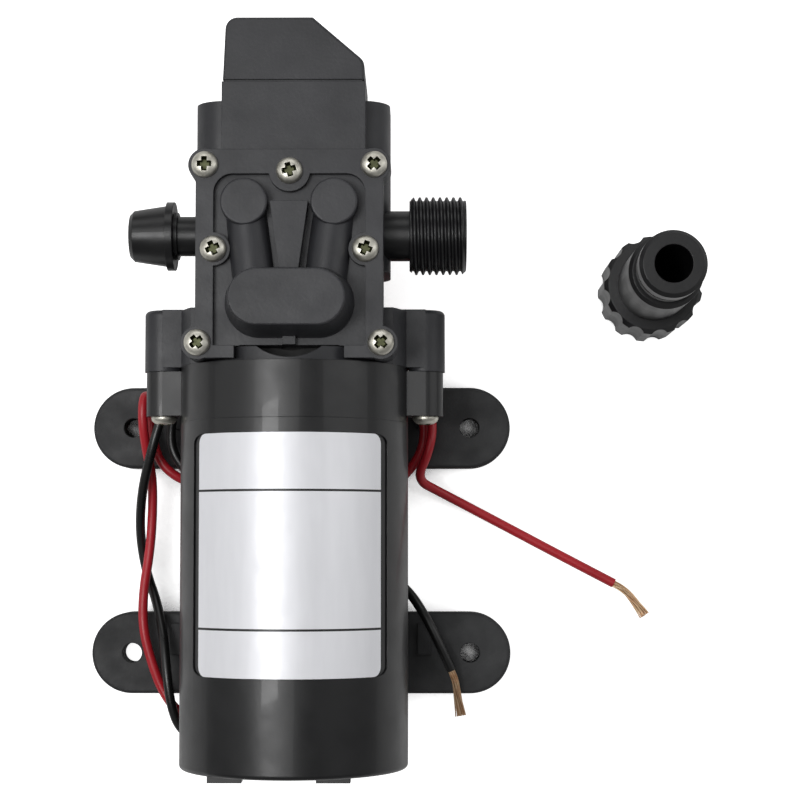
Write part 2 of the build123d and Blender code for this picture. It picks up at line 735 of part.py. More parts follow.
def armature_winding():
    """The copper winding: a bar in each slot and a ring of turns at each end."""
    end = CORE_L / 2 + SLOT_GAP
    far = end + WINDING_END_L
    rings = [(end, far), (-far, -end)]
    body = None
    for y0, y1 in rings:
        ring = bar_y(WINDING_R, y0, y1)
        ring = chamfer(ring.edges().filter_by(GeomType.CIRCLE), WINDING_ROUND)
        ring -= bar_y(WINDING_BORE_R, y0 - OVERRUN, y1 + OVERRUN)
        body = ring if body is None else body + ring
    low = CORE_R - SLOT_DEPTH + SLOT_GAP
    strip = slot_cutter(WINDING_W, low, min(low + WINDING_DEPTH, WINDING_R), far - WINDING_STEP)
    for step in range(SLOT_COUNT):
        body += round_axis(strip, step * 360 / SLOT_COUNT)
    return one(Pos(0, CORE_Y, 0) * body)


def commutator():
    """The copper commutator with a cut between its bars."""
    front = COMMUTATOR_REAR_Y + COMMUTATOR_L
    body = bar_y(COMMUTATOR_R, COMMUTATOR_REAR_Y, front)
    body -= bar_y(SHAFT_R + FIT_GAP, COMMUTATOR_REAR_Y - OVERRUN, front + OVERRUN)
    half = COMMUTATOR_L * 2
    cutter = slot_cutter(BAR_CUT, COMMUTATOR_R - BAR_CUT, COMMUTATOR_R + OVERRUN, half)
    cutter = Pos(0, COMMUTATOR_REAR_Y, 0) * cutter
    for step in range(COMMUTATOR_BARS):
        body -= round_axis(cutter, step * 360 / COMMUTATOR_BARS)
    return one(body)


def brush_holder():
    """The insulating card with a tube for each brush."""
    body = bar_y(INNER_R, CARD_Y - CARD_T, CARD_Y)
    wide, high = BRUSH_SIZE[1:]
    gap = SEAT_GAP
    half_z = high / 2 + gap + BRUSH_WALL
    front = BRUSH_Y + wide / 2 + gap + BRUSH_WALL
    start = BRUSH_X + BRUSH_WALL
    for side in (-1, 1):
        ends = (side * start, side * (start + BRUSH_TUBE_L))
        body += block(min(ends), max(ends), CARD_Y, front, MOTOR_Z - half_z, MOTOR_Z + half_z)
        hole = (side * (start - OVERRUN), side * (start + BRUSH_TUBE_L - BRUSH_WALL))
        body -= block(
            min(hole),
            max(hole),
            BRUSH_Y - wide / 2 - gap,
            BRUSH_Y + wide / 2 + gap,
            MOTOR_Z - high / 2 - gap,
            MOTOR_Z + high / 2 + gap,
        )
    body &= bar_y(INNER_R, CARD_Y - CARD_T, front)
    body -= bar_y(CARD_HOLE_R, CARD_Y - CARD_T - OVERRUN, CARD_Y + OVERRUN)
    return one(body)


def brushes():
    """Two carbon brushes that press on the commutator."""
    middle = BRUSH_X + BRUSH_SIZE[0] / 2
    return group(Pos(side * middle, BRUSH_Y, MOTOR_Z) * Box(*BRUSH_SIZE) for side in (-1, 1))


def coil(radius, wire, length, turns):
    """A coil spring along Z from z = 0, its wire ends cut square."""
    rise = length - wire * 2
    path = Helix(pitch=rise / turns, height=rise, radius=radius)
    start = Plane(origin=path @ 0, z_dir=path % 0)
    return one(Pos(0, 0, wire) * sweep(start * Circle(wire), path=path, is_frenet=True))


def brush_springs():
    """A small coil spring behind each brush."""
    spring = coil(BRUSH_SPRING_R, BRUSH_WIRE_R, BRUSH_SPRING_L, SPRING_TURNS)
    start = BRUSH_X + BRUSH_SIZE[0] + BRUSH_WIRE_R
    placed = []
    for side in (-1, 1):
        placed.append(Pos(side * start, BRUSH_Y, MOTOR_Z) * Rot(0, side * 90, 0) * spring)
    return group(placed)


def motor_terminals():
    """Two brass tabs on the back of the brush card."""
    thick, wide, long = TAB_SIZE
    y1 = CARD_Y - CARD_T
    tabs = []
    for side in (-1, 1):
        z = MOTOR_Z + side * TAB_SPACING / 2
        x0, x1 = TAB_X - wide / 2, TAB_X + wide / 2
        tabs.append(block(x0, x1, y1 - long, y1, z - thick / 2, z + thick / 2))
    return group(tabs)


def lead_grommet():
    """The rubber block in the motor's flank that the two motor leads enter."""
    return grommet_block(0)


# Drive

def eccentric():
    """The offset bush on the shaft's nose, with its half-round weight."""
    rear = DIAPHRAGM_Y - ROD_L / 2 - SEAT_GAP
    front = DIAPHRAGM_Y + ECCENTRIC_L / 2
    weight = bar_y(WEIGHT_R, rear - WEIGHT_L, rear)
    low, top = MOTOR_Z - ECCENTRIC_R, MOTOR_Z + WEIGHT_R
    weight &= block(-WEIGHT_R, WEIGHT_R, rear - WEIGHT_L, rear, low, top)
    body = bar_y(ECCENTRIC_R, rear, front, z=CRANK_Z) + weight
    return one(body - bar_y(SHAFT_NOSE_R + FIT_GAP, rear - WEIGHT_L - OVERRUN, front + OVERRUN))


def rod_bearing():
    """The ball bearing between the eccentric and the rod."""
    start = DIAPHRAGM_Y - ROD_BEARING_L / 2
    return bearing(start, ROD_BEARING_L, ROD_BEARING_R, ECCENTRIC_R + RUN_GAP, CRANK_Z)


def connecting_rod():
    """The rod: a ring round its bearing, a neck and a round head."""
    y0 = DIAPHRAGM_Y - ROD_L / 2 + RUN_GAP
    y1 = DIAPHRAGM_Y + ROD_L / 2 - RUN_GAP
    outer = ROD_BEARING_R + ROD_WALL
    body = bar_y(outer, y0, y1, z=CRANK_Z)
    body += block(-ROD_NECK_W / 2, ROD_NECK_W / 2, y0, y1, CRANK_Z + ROD_BEARING_R, ROD_TOP)
    body += bar_z(CLAMP_R, ROD_TOP - DIAPHRAGM_T, ROD_TOP, 0, DIAPHRAGM_Y)
    body -= bar_y(ROD_BEARING_R + FIT_GAP, y0 - OVERRUN, y1 + OVERRUN, z=CRANK_Z)
    depth = CLAMP_TOP - CLAMP_SCREW_L - RUN_GAP
    return one(body - bar_z(CLAMP_SCREW_R + FIT_GAP, depth, ROD_TOP + OVERRUN, 0, DIAPHRAGM_Y))


def pump_diaphragm():
    """The rubber diaphragm at bottom dead centre, clamped at its rim."""
    hole = CLAMP_SCREW_R + FIT_GAP
    body = turned([
        (hole, ROD_TOP),
        (CLAMP_R, ROD_TOP),
        (DIAPHRAGM_FREE_R, SEAT_Z),
        (DIAPHRAGM_R, SEAT_Z),
        (DIAPHRAGM_R, CASE_TOP),
        (DIAPHRAGM_FREE_R, CASE_TOP),
        (CLAMP_R, ROD_TOP + DIAPHRAGM_T),
        (hole, ROD_TOP + DIAPHRAGM_T),
    ])
    return Pos(0, DIAPHRAGM_Y, 0) * body


def clamp_screw_shape(grow):
    """The countersunk screw of the rod's clamp plate, or its hole."""
    cone = CLAMP_SCREW_CONE
    return Pos(0, DIAPHRAGM_Y, CLAMP_TOP) * turned([
        (0, 0),
        (CLAMP_SCREW_HEAD_R + grow, 0),
        (CLAMP_SCREW_R + grow, -cone),
        (CLAMP_SCREW_R + grow, -CLAMP_SCREW_L),
        (0, -CLAMP_SCREW_L),
    ])


def clamp_plate():
    """The round plate that clamps the diaphragm's middle to the rod."""
    body = bar_z(CLAMP_R, CLAMP_TOP - CLAMP_T, CLAMP_TOP, 0, DIAPHRAGM_Y)
    return one(body - clamp_screw_shape(FIT_GAP))


def clamp_screw():
    """The countersunk screw through the clamp plate."""
    return clamp_screw_shape(0)


# Pump body

def crankcase():
    """The drum in front of the motor, with its collar, its nose and two ears."""
    body = bar_y(MOTOR_R, CAP_FRONT_Y, DRUM_FRONT_Y)
    rear, front = CAP_FRONT_Y - OVERRUN, DRUM_FRONT_Y + OVERRUN
    body -= block(-MOTOR_R, MOTOR_R, rear, front, CASE_TOP, CASE_TOP + MOTOR_R)
    body += bar_y(COLLAR_R, CAP_FRONT_Y, CAP_FRONT_Y + COLLAR_L)
    body += bar_z(NOSE_R, NOSE_BOTTOM, CASE_TOP, 0, DIAPHRAGM_Y)
    for side in (-1, 1):
        ear = bar_y(EAR_R, EAR_SEAM_Y, EAR_FRONT_Y, x=side * EAR_X)
        front = ear.edges().filter_by(GeomType.CIRCLE).sort_by(Axis.Y)[-1]
        body += fillet(front, EAR_EDGE_R)
        web = (side * MOTOR_R * cos(radians(EAR_WEB_ANGLE)), side * EAR_X)
        body += block(min(web), max(web), CAP_FRONT_Y, EAR_FRONT_Y, MOTOR_Z - EAR_R, MOTOR_Z + EAR_R)
    body -= bar_y(MOTOR_R + SEAT_GAP, EAR_SEAM_Y - OVERRUN, CAP_FRONT_Y)
    cavity = bar_y(MOTOR_R - DRUM_WALL, CAP_FRONT_Y + COLLAR_L, DRUM_FRONT_Y - DRUM_WALL)
    cavity &= block(
        -MOTOR_R, MOTOR_R, CAP_FRONT_Y, DRUM_FRONT_Y, MOTOR_Z - MOTOR_R, DECK_BOTTOM
    )
    for side in (-1, 1):
        cavity -= bar_z(CASE_BOSS_R, MOTOR_Z, CASE_TOP, side * LOW_SCREW_X, LOW_SCREW_Y)
    body -= cavity
    half = CRANK_HALF_W
    inner = DIAPHRAGM_Y + SEAT_R - NOSE_WALL
    well = block(-half, half, CAP_FRONT_Y + COLLAR_L, inner, NOSE_BOTTOM + CRANK_FLOOR, DECK_BOTTOM)
    room = bar_z(SEAT_R - NOSE_WALL, NOSE_BOTTOM, CASE_TOP, 0, DIAPHRAGM_Y)
    back = block(-half, half, CAP_FRONT_Y, DIAPHRAGM_Y + ROD_L / 2 + SEAT_GAP, NOSE_BOTTOM, CASE_TOP)
    body -= well & (room + back)
    body -= bar_z(DIAPHRAGM_FREE_R, DECK_BOTTOM - OVERRUN, CASE_TOP + OVERRUN, 0, DIAPHRAGM_Y)
    body -= bar_z(SEAT_R, SEAT_Z, CASE_TOP + MOTOR_R, 0, DIAPHRAGM_Y)
    body -= bar_y(CASE_BORE_R, EAR_SEAM_Y, CAP_FRONT_Y + COLLAR_L + OVERRUN)
    for side in (-1, 1):
        body -= bar_y(SCREW_R + FIT_GAP, EAR_SEAM_Y - OVERRUN, EAR_BACK_Y + EAR_SCREW_L, x=side * EAR_X)
    for x, y in COVER_SCREWS[-2:]:
        body -= bar_z(SCREW_R + FIT_GAP, COVER_TOP - COVER_SCREW_L, CASE_TOP + OVERRUN, x, y)
    return one(body)


def collar_room():
    """The space that the cover and the valve body leave for the collar."""
    end = CAP_FRONT_Y + COLLAR_L + SEAT_GAP
    return bar_y(COLLAR_R + SEAT_GAP, EAR_BACK_Y, end)


def head_outline(z0, z1):
    """The head's outline between two heights: a plate with four corner bosses."""
    body = slab(-HEAD_HALF_W, HEAD_HALF_W, HEAD_Y, HEAD_END_Y, z0, z1, SLAB_CORNER_R)
    for x, y in COVER_SCREWS:
        if y != MID_SCREW_Y:
            body += bar_z(BOSS_R, z0, z1, x, y)
    return body


def valve_body():
    """The slab over the diaphragm and the thick block that holds both ports."""
    housing = block(-BLOCK_HALF_W, BLOCK_HALF_W, BLOCK_Y, BLOCK_SIDE_Y, BLOCK_BOTTOM, BLOCK_TOP)
    housing = fillet(housing.edges().filter_by(Axis.Y), BLOCK_EDGE_R)
    housing += block(SWITCH_LEFT, SWITCH_RIGHT, PORT_Y, BLOCK_END_Y, BLOCK_BOTTOM, BLOCK_TOP)
    housing -= bar_z(NOSE_R + SEAT_GAP, BLOCK_BOTTOM - OVERRUN, CASE_TOP, 0, DIAPHRAGM_Y)
    body = head_outline(CASE_TOP, SLAB_TOP) + housing
    body -= collar_room()
    body -= bar_z(CHAMBER_R, CASE_TOP - OVERRUN, ROOF_Z, 0, DIAPHRAGM_Y)
    body += bar_z(TOWER_R, ROOF_Z, SLAB_TOP + TOWER_H, -VALVE_X, DIAPHRAGM_Y)
    body -= bar_z(VALVE_R + SEAT_GAP, ROOF_Z - OVERRUN, INLET_SEAT, -VALVE_X, DIAPHRAGM_Y)
    body -= bar_z(KNOB_ROOM_R, ROOF_Z - OVERRUN, ROOF_Z + KNOB_ROOM_H, VALVE_X, DIAPHRAGM_Y)
    for x in (-VALVE_X, VALVE_X):
        stem = VALVE_STEM_R + RUN_GAP
        body -= bar_z(stem, ROOF_Z - OVERRUN, SLAB_TOP + TOWER_H + OVERRUN, x, DIAPHRAGM_Y)
        for step in range(FLOW_HOLES):
            turn = radians(step * 360 / FLOW_HOLES + 180 / FLOW_HOLES)
            hole_x = x + FLOW_RADIUS * cos(turn)
            hole_y = DIAPHRAGM_Y + FLOW_RADIUS * sin(turn)
            body -= bar_z(FLOW_HOLE_R, ROOF_Z - OVERRUN, SLAB_TOP + TOWER_H + OVERRUN, hole_x, hole_y)
    for side, neck in ((1, THREAD_NECK_R), (-1, SNAP_NECK_R)):
        body -= bar_x(neck + FIT_GAP, side * SOCKET_X, side * (BLOCK_HALF_W + OVERRUN), PORT_Y, PORT_Z)
        body -= bar_x(PASSAGE_R, side * PRESSURE_HOLE_X, side * PORT_SEAT_X, PORT_Y, PORT_Z)
        body -= bar_z(PASSAGE_R, PORT_Z, SLAB_TOP + OVERRUN, side * BUTTON_X, RISER_Y)
    sense_y = BLOCK_END_Y - SENSE_T
    body -= bar_y(PRESSURE_HOLE_R, PORT_Y, sense_y, x=PRESSURE_HOLE_X, z=PRESSURE_HOLE_Z)
    body -= bar_y(SENSE_FREE_R, sense_y - SENSE_DEPTH, BLOCK_END_Y, x=SWITCH_X, z=SWITCH_Z)
    body -= bar_y(SENSE_R + SEAT_GAP, sense_y, BLOCK_END_Y + OVERRUN, x=SWITCH_X, z=SWITCH_Z)
    for x, y in COVER_SCREWS:
        low = COVER_TOP - cover_screw_length(y)
        body -= bar_z(SCREW_R + FIT_GAP, low, SLAB_TOP + OVERRUN, x, y)
    depth = BLOCK_END_Y + CAP_SCREW_SEAT - CAP_SCREW_L
    for x, z in CAP_SCREW_PLACES:
        body -= bar_y(SCREW_R + FIT_GAP, depth, BLOCK_END_Y + OVERRUN, x=x, z=z)
    return one(body)


def valve(x, low, stem, rises):
    """A rubber disc valve whose stem, with a knob at its end, rises or hangs."""
    disc = bar_z(VALVE_R, low, low + VALVE_T, x, DIAPHRAGM_Y)
    if rises:
        tip = low + VALVE_T + stem
        disc += bar_z(VALVE_STEM_R, low + VALVE_T, tip, x, DIAPHRAGM_Y)
        return disc + bar_z(VALVE_KNOB_R, tip, tip + VALVE_KNOB_T, x, DIAPHRAGM_Y)
    tip = low - stem
    disc += bar_z(VALVE_STEM_R, tip, low, x, DIAPHRAGM_Y)
    return disc + bar_z(VALVE_KNOB_R, tip - VALVE_KNOB_T, tip, x, DIAPHRAGM_Y)


def inlet_valve():
    """The inlet valve hangs under its seat and opens into the chamber."""
    stem = VALVE_GAP + VALVE_WEB + VALVE_LIFT + VALVE_GAP
    return valve(-VALVE_X, INLET_VALVE_Z, stem, True)


def outlet_valve():
    """The outlet valve lies on its seat and opens into the cover."""
    stem = VALVE_GAP + ROOF_T - KNOB_ROOM_H + VALVE_LIFT + VALVE_GAP
    return valve(VALVE_X, OUTLET_VALVE_Z, stem, False)


def oblong_face(margin):
    """The oblong chamber's outline at its foot, drawn in by a margin."""
    length = OBLONG_L - margin * 2
    width = OBLONG_W - margin * 2
    return Pos(0, OBLONG_Y) * SlotOverall(length, width)


def duct(side, radius):
    """A sloping duct from a round button down to the oblong chamber."""
    low = Vector(side * BUTTON_X, BUTTON_Y, SLAB_TOP + DUCT_LOW_RISE)
    high = Vector(side * DUCT_END_X, DUCT_END_Y, SLAB_TOP + DUCT_HIGH_RISE)
    path = Line(low, high)
    start = Plane(origin=low, z_dir=high - low)
    return extrude(start * Circle(radius), amount=path.length)


def head_cover():
    """The screwed cover: recessed panel, buttons, ducts, oblong and switch socket."""
    body = head_outline(SLAB_TOP, COVER_TOP)
    far_y, over = PANEL_LOW_Y + PANEL_L, COVER_TOP + OVERRUN
    panel = block(-PANEL_HALF_W, PANEL_HALF_W, PANEL_LOW_Y, far_y, PANEL_TOP, over)
    corners = panel.edges().filter_by(Axis.Z).sort_by(Axis.Y)[2:]
    panel = fillet(corners, PANEL_CORNER_R)
    panel -= bar_z(RING_R, PANEL_TOP - OVERRUN, COVER_TOP + OVERRUN * 2, 0, MID_SCREW_Y)
    for x in (-SIDE_SCREW_X, SIDE_SCREW_X):
        panel -= bar_z(BOSS_R, PANEL_TOP - OVERRUN, COVER_TOP + OVERRUN * 2, x, SIDE_SCREW_Y)
    body -= panel
    for side in (-1, 1):
        button = bar_z(BUTTON_R, SLAB_TOP, PANEL_TOP + BUTTON_H, side * BUTTON_X, BUTTON_Y)
        top = button.edges().filter_by(GeomType.CIRCLE).sort_by(Axis.Z)[-1]
        body += fillet(top, BUTTON_EDGE_R)
        tube = duct(side, DUCT_R)
        body += tube - block(-HEAD_L, HEAD_L, 0, HEAD_END_Y * 2, 0, SLAB_TOP)
    wedge = Polyline(
        (-WEDGE_TOP_HALF_W, WEDGE_TOP_Y),
        (WEDGE_TOP_HALF_W, WEDGE_TOP_Y),
        (WEDGE_LOW_HALF_W, WEDGE_LOW_Y),
        (-WEDGE_LOW_HALF_W, WEDGE_LOW_Y),
        close=True,
    )
    body += Pos(0, 0, SLAB_TOP) * extrude(make_face(wedge), amount=PANEL_T + WEDGE_H)
    bulge = Pos(0, 0, PANEL_TOP) * extrude(oblong_face(0), amount=OBLONG_H, taper=OBLONG_TAPER)
    body += fillet(bulge.faces().sort_by(Axis.Z)[-1].edges(), OBLONG_EDGE_R)
    body += Pos(0, 0, SLAB_TOP) * extrude(oblong_face(0), amount=PANEL_T)
    rib_top = PANEL_TOP + RIB_H
    body += block(-RIB_W / 2, RIB_W / 2, PANEL_LOW_Y - OVERRUN, RIB_END_Y, SLAB_TOP, rib_top)
    left, right = SWITCH_LEFT, SWITCH_RIGHT
    body += block(left, right, HEAD_END_Y, BLOCK_END_Y, BLOCK_TOP, SWITCH_TOP)
    body += block(left, right, HEAD_END_Y - SLAB_CORNER_R, HEAD_END_Y, SLAB_TOP, SWITCH_TOP)
    body -= collar_room()
    rear, top = HEAD_Y - OVERRUN, COVER_TOP + OVERRUN
    body -= block(-NOTCH_HALF_W, NOTCH_HALF_W, rear, PANEL_LOW_Y, SLAB_TOP - OVERRUN, top)
    room = OBLONG_H + PANEL_T - OBLONG_WALL
    pocket = Pos(0, 0, SLAB_TOP) * extrude(oblong_face(OBLONG_WALL), amount=room, taper=OBLONG_TAPER)
    pocket -= block(-DIVIDER_T / 2, DIVIDER_T / 2, 0, OBLONG_Y * 2, SLAB_TOP, SLAB_TOP + room)
    body -= pocket
    for side in (-1, 1):
        body -= duct(side, DUCT_BORE_R)
        top = PANEL_TOP + BUTTON_H - OBLONG_WALL
        x = side * BUTTON_X
        body -= bar_z(BUTTON_R - OBLONG_WALL, SLAB_TOP - OVERRUN, top, x, BUTTON_Y)
    for x, y in COVER_SCREWS:
        body -= bar_z(SCREW_R + FIT_GAP, SLAB_TOP - OVERRUN, COVER_TOP + OVERRUN, x, y)
    return one(body)


def cover_screws():
    """The seven screws of the head, the two at its sides shorter."""
    return group(Pos(x, y, COVER_TOP) * screw(cover_screw_length(y)) for x, y in COVER_SCREWS)


def ear_screws():
    """The two long screws that go up through the ears from the motor's side."""
    pattern = Rot(90, 0, 0) * screw(EAR_SCREW_L - FIT_GAP)
    return group(Pos(side * EAR_X, EAR_BACK_Y, MOTOR_Z) * pattern for side in (-1, 1))


# Pressure switch

def switch_cap():
    """The switch's cap: a slanted corner, a groove at its seam and room for the switch."""
    left = SWITCH_LEFT + SWITCH_STEP
    right = SWITCH_RIGHT - SWITCH_STEP
    outline = Polyline(
        (left, BLOCK_END_Y),
        (right, BLOCK_END_Y),
        (right, CAP_END_Y - SWITCH_SLANT_Y),
        (SWITCH_SLANT_X, CAP_END_Y),
        (left + SWITCH_DRAFT, CAP_END_Y),
        close=True,
    )
    top = SWITCH_TOP - SWITCH_STEP
    body = Pos(0, 0, SWITCH_BOTTOM) * extrude(make_face(outline), amount=top - SWITCH_BOTTOM)
    upright = body.edges().filter_by(Axis.Z)
    outer = upright.sort_by(Axis.X)[0:2].sort_by(Axis.Y)[-1:]
    body = fillet(upright.sort_by(Axis.Y)[2:3] + outer, SWITCH_CORNER_R)
    rim = body.faces().sort_by(Axis.Z)[-1].edges()
    body = fillet(rim.sort_by(Axis.Y)[1:], SWITCH_EDGE_R)
    rear, far = BLOCK_END_Y - OVERRUN, BLOCK_END_Y + SEAM_W
    seam = block(left - OVERRUN, right + OVERRUN, rear, far, SWITCH_BOTTOM - OVERRUN, top + OVERRUN)
    low, high = SWITCH_BOTTOM + SEAM_DEPTH, top - SEAM_DEPTH
    body -= seam - block(left + SEAM_DEPTH, right - SEAM_DEPTH, rear, far, low, high)
    body -= bar_y(PLUNGER_R + SEAT_GAP * 2, BLOCK_END_Y - OVERRUN, GUIDE_Y, x=SWITCH_X, z=SWITCH_Z)
    body -= bar_y(PLUNGER_STEM_R + RUN_GAP, GUIDE_Y - OVERRUN, MICRO_Y + OVERRUN, x=SWITCH_X, z=SWITCH_Z)
    body -= micro_room()
    body -= outlet_block(SEAT_GAP / 2)
    for x, z in CAP_SCREW_PLACES:
        body -= bar_y(SCREW_R + FIT_GAP, BLOCK_END_Y - OVERRUN, CAP_END_Y, x=x, z=z)
        seat = BLOCK_END_Y + CAP_SCREW_SEAT
        body -= bar_y(SCREW_HEAD_R + SEAT_GAP, seat, CAP_END_Y + OVERRUN, x=x, z=z)
    return one(body)


def micro_room():
    """The pocket in the cap for the microswitch, open down to the lead outlet."""
    wide, deep, high = MICRO_SIZE
    gap = SEAT_GAP
    return block(
        SWITCH_X - wide / 2 - gap,
        SWITCH_X + wide / 2 + gap,
        GUIDE_Y + GUIDE_T,
        MICRO_Y + deep + gap,
        SWITCH_BOTTOM + OUTLET_SIZE[2],
        SWITCH_Z + high / 2 + gap,
    )


def outlet_block(grow):
    """The lead outlet's plug in the bottom of the cap."""
    wide, deep, high = OUTLET_SIZE
    x = (RED_MOTOR_ROUTE[0][0] + RED_SUPPLY_ROUTE[0][0]) / 2
    y = RED_MOTOR_ROUTE[0][1]
    return block(
        x - wide / 2 - grow,
        x + wide / 2 + grow,
        y - deep / 2 - grow,
        y + deep / 2 + grow,
        SWITCH_BOTTOM - OUTLET_PROUD,
        SWITCH_BOTTOM + high,
    )


def lead_outlet():
    """The rubber plug that both switch leads leave through, with its flange."""
    flange = outlet_block(OUTLET_FLANGE) & block(
        -BLOCK_HALF_W, BLOCK_HALF_W, BLOCK_END_Y, CAP_END_Y, 0, SWITCH_BOTTOM
    )
    return one(outlet_block(0) + flange)


def switch_diaphragm():
    """The rubber disc that the water's pressure pushes against."""
    return bar_y(SENSE_R, BLOCK_END_Y - SENSE_T, BLOCK_END_Y, x=SWITCH_X, z=SWITCH_Z)


def switch_plunger():
    """The plunger that the disc moves, with its stem through the cap's web."""
    stem_end = MICRO_Y - BUTTON_PROUD
    body = bar_y(PLUNGER_R, PLUNGER_Y, PLUNGER_Y + PLUNGER_T, x=SWITCH_X, z=SWITCH_Z)
    return body + bar_y(PLUNGER_STEM_R, PLUNGER_Y, stem_end, x=SWITCH_X, z=SWITCH_Z)


def switch_spring():
    """The coil spring that pushes the plunger back."""
    start = PLUNGER_Y + PLUNGER_T + RUN_GAP
    length = GUIDE_Y - RUN_GAP - start
    return along_y(coil(SPRING_R, SPRING_WIRE_R, length, SPRING_TURNS), SWITCH_X, start, SWITCH_Z)


def microswitch():
    """The small snap switch, with the hole that its button slides in."""
    deep, high = MICRO_SIZE[1:]
    body = Pos(SWITCH_X, MICRO_Y + deep / 2, SWITCH_Z) * Box(*MICRO_SIZE)
    reach = BUTTON_PIN_L - BUTTON_PROUD + PLUNGER_TRAVEL + RUN_GAP
    body -= bar_y(BUTTON_PIN_R + RUN_GAP, MICRO_Y - OVERRUN, MICRO_Y + reach, x=SWITCH_X, z=SWITCH_Z)
    thick = TAB_SIZE[0]
    for side in (-1, 1):
        x = SWITCH_X + side * MICRO_TAB_X
        y = MICRO_Y + deep / 2
        low = SWITCH_Z - high / 2
        tip = SWITCH_BOTTOM + OUTLET_SIZE[2] + SEAT_GAP
        half = MICRO_TAB_W / 2
        body += block(x - half, x + half, y - thick / 2, y + thick / 2, tip, low)
    return one(body)


def microswitch_button():
    """The button that the plunger's stem pushes in."""
    start = MICRO_Y - BUTTON_PROUD
    return bar_y(BUTTON_PIN_R, start, start + BUTTON_PIN_L, x=SWITCH_X, z=SWITCH_Z)


def switch_cap_screws():
    """The two screws that hold the cap."""
    pattern = screw(CAP_SCREW_L - FIT_GAP)
    seat = BLOCK_END_Y + CAP_SCREW_SEAT
    return group(Pos(x, seat, z) * Rot(-90, 0, 0) * pattern for x, z in CAP_SCREW_PLACES)


# Ports

def threaded_port():
    """The outlet fitting with the pipe thread, plain at the thread's crests."""
    body = bar_x(THREAD_NECK_R, PORT_SEAT_X, THREAD_X, PORT_Y, PORT_Z)
    barrel = bar_x(THREAD_R, THREAD_X, THREAD_X + THREAD_L, PORT_Y, PORT_Z)
    ends = barrel.edges().filter_by(GeomType.CIRCLE)
    body += chamfer(ends, THREAD_CHAMFER)
    end = THREAD_X + THREAD_L + OVERRUN
    return one(body - bar_x(PORT_BORE_R, PORT_SEAT_X - OVERRUN, end, PORT_Y, PORT_Z))


def snap_port():
    """The plain inlet fitting with its thin flange and tapered nose."""
    flange_back = SNAP_FLANGE_X + SNAP_FLANGE_T
    tip = flange_back + SNAP_BARREL_L
    shape = turned([
        (SNAP_BORE_R, PORT_SEAT_X),
        (SNAP_NECK_R, PORT_SEAT_X),
        (SNAP_NECK_R, SNAP_SHOULDER_X),
        (SNAP_SHOULDER_R, SNAP_SHOULDER_X),
        (SNAP_SHOULDER_R, SNAP_FLANGE_X),
        (SNAP_FLANGE_R, SNAP_FLANGE_X),
        (SNAP_FLANGE_R, flange_back),
        (SNAP_ROOT_R, flange_back),
        (SNAP_TIP_R, tip - THREAD_CHAMFER),
        (SNAP_TIP_R - THREAD_CHAMFER, tip),
        (SNAP_BORE_R, tip),
    ])
    return Pos(0, PORT_Y, PORT_Z) * Rot(0, -90, 0) * shape


def port_seals():
    """A flat rubber washer at the bottom of each port's socket."""
    seals = []
    for side, neck in ((1, THREAD_NECK_R), (-1, SNAP_NECK_R)):
        inner, outer = side * (SOCKET_X - OVERRUN), side * (PORT_SEAT_X + OVERRUN)
        ring = bar_x(neck - SEAT_GAP, side * SOCKET_X, side * PORT_SEAT_X, PORT_Y, PORT_Z)
        seals.append(ring - bar_x(PASSAGE_R, inner, outer, PORT_Y, PORT_Z))
    return group(seals)


# Feet

def foot(y):
    """A rubber foot: two round-ended ears and the saddle that the motor lies in."""
    length = (FOOT_HOLE_X + FOOT_END_R) * 2
    plate = extrude(SlotOverall(length, FOOT_END_R * 2), amount=FOOT_T)
    body = fillet(plate.faces().sort_by(Axis.Z)[-1].edges(), FOOT_EDGE_R)
    body += block(-SADDLE_HALF_W, SADDLE_HALF_W, -FOOT_END_R, FOOT_END_R, 0, SADDLE_H)
    for side in (-1, 1):
        x = side * GRIP_X
        body += block(
            x - GRIP_W / 2,
            x + GRIP_W / 2,
            GRIP_SHIFT - GRIP_L / 2,
            GRIP_SHIFT + GRIP_L / 2,
            0,
            FOOT_T + GRIP_H,
        )
        body -= bar_z(FOOT_HOLE_R, -OVERRUN, FOOT_T + OVERRUN, side * FOOT_HOLE_X, 0)
    body = Pos(0, y, 0) * body
    body -= bar_y(MOTOR_R + SEAT_GAP, y - FOOT_END_R - OVERRUN, y + FOOT_END_R + OVERRUN)
    for pad_y in PAD_YS:
        for side in (-1, 1):
            x = side * PAD_X
            body -= bar_z(SCREW_R + SEAT_GAP, -OVERRUN, SADDLE_H + OVERRUN, x, pad_y)
            body -= bar_z(SCREW_HEAD_R + SEAT_GAP, -OVERRUN, PAD_SCREW_SINK, x, pad_y)
    return one(body)


def front_foot():
    """The foot under the motor's front."""
    return foot(FOOT_HOLE_Y)


def rear_foot():
    """The foot under the motor's rear."""
    return foot(-FOOT_HOLE_Y)


def foot_screws():
    """Four screws from below that hold the feet to the sleeve's pads."""
    pattern = screw(PAD_SCREW_L)
    places = [(side * PAD_X, y) for y in PAD_YS for side in (-1, 1)]
    return group(Pos(x, y, PAD_SCREW_SINK) * Rot(180, 0, 0) * pattern for x, y in places)


# Leads

def out_of_grommet(place):
    """Where a motor lead meets the grommet, and a point straight out from it."""
    tilt = radians(GROMMET_ANGLE)
    face = SLEEVE_BORE_R + GROMMET_SIZE[0]
    y = GROMMET_Y + place * LEAD_SPACING / 2
    ends = []
    for reach in (face, face + LEAD_EXIT_L):
        ends.append((-reach * cos(tilt), y, MOTOR_Z - reach * sin(tilt)))
    return ends


def corner_radii(points):
    """One radius for each corner: as large as its two runs allow."""
    radii = []
    for before, here, after in zip(points, points[1:], points[2:]):
        first = Vector(*here) - Vector(*before)
        second = Vector(*after) - Vector(*here)
        half = radians(first.get_angle(second)) / 2
        radii.append(CORNER_SHARE * min(first.length, second.length) / tan(half))
    return radii


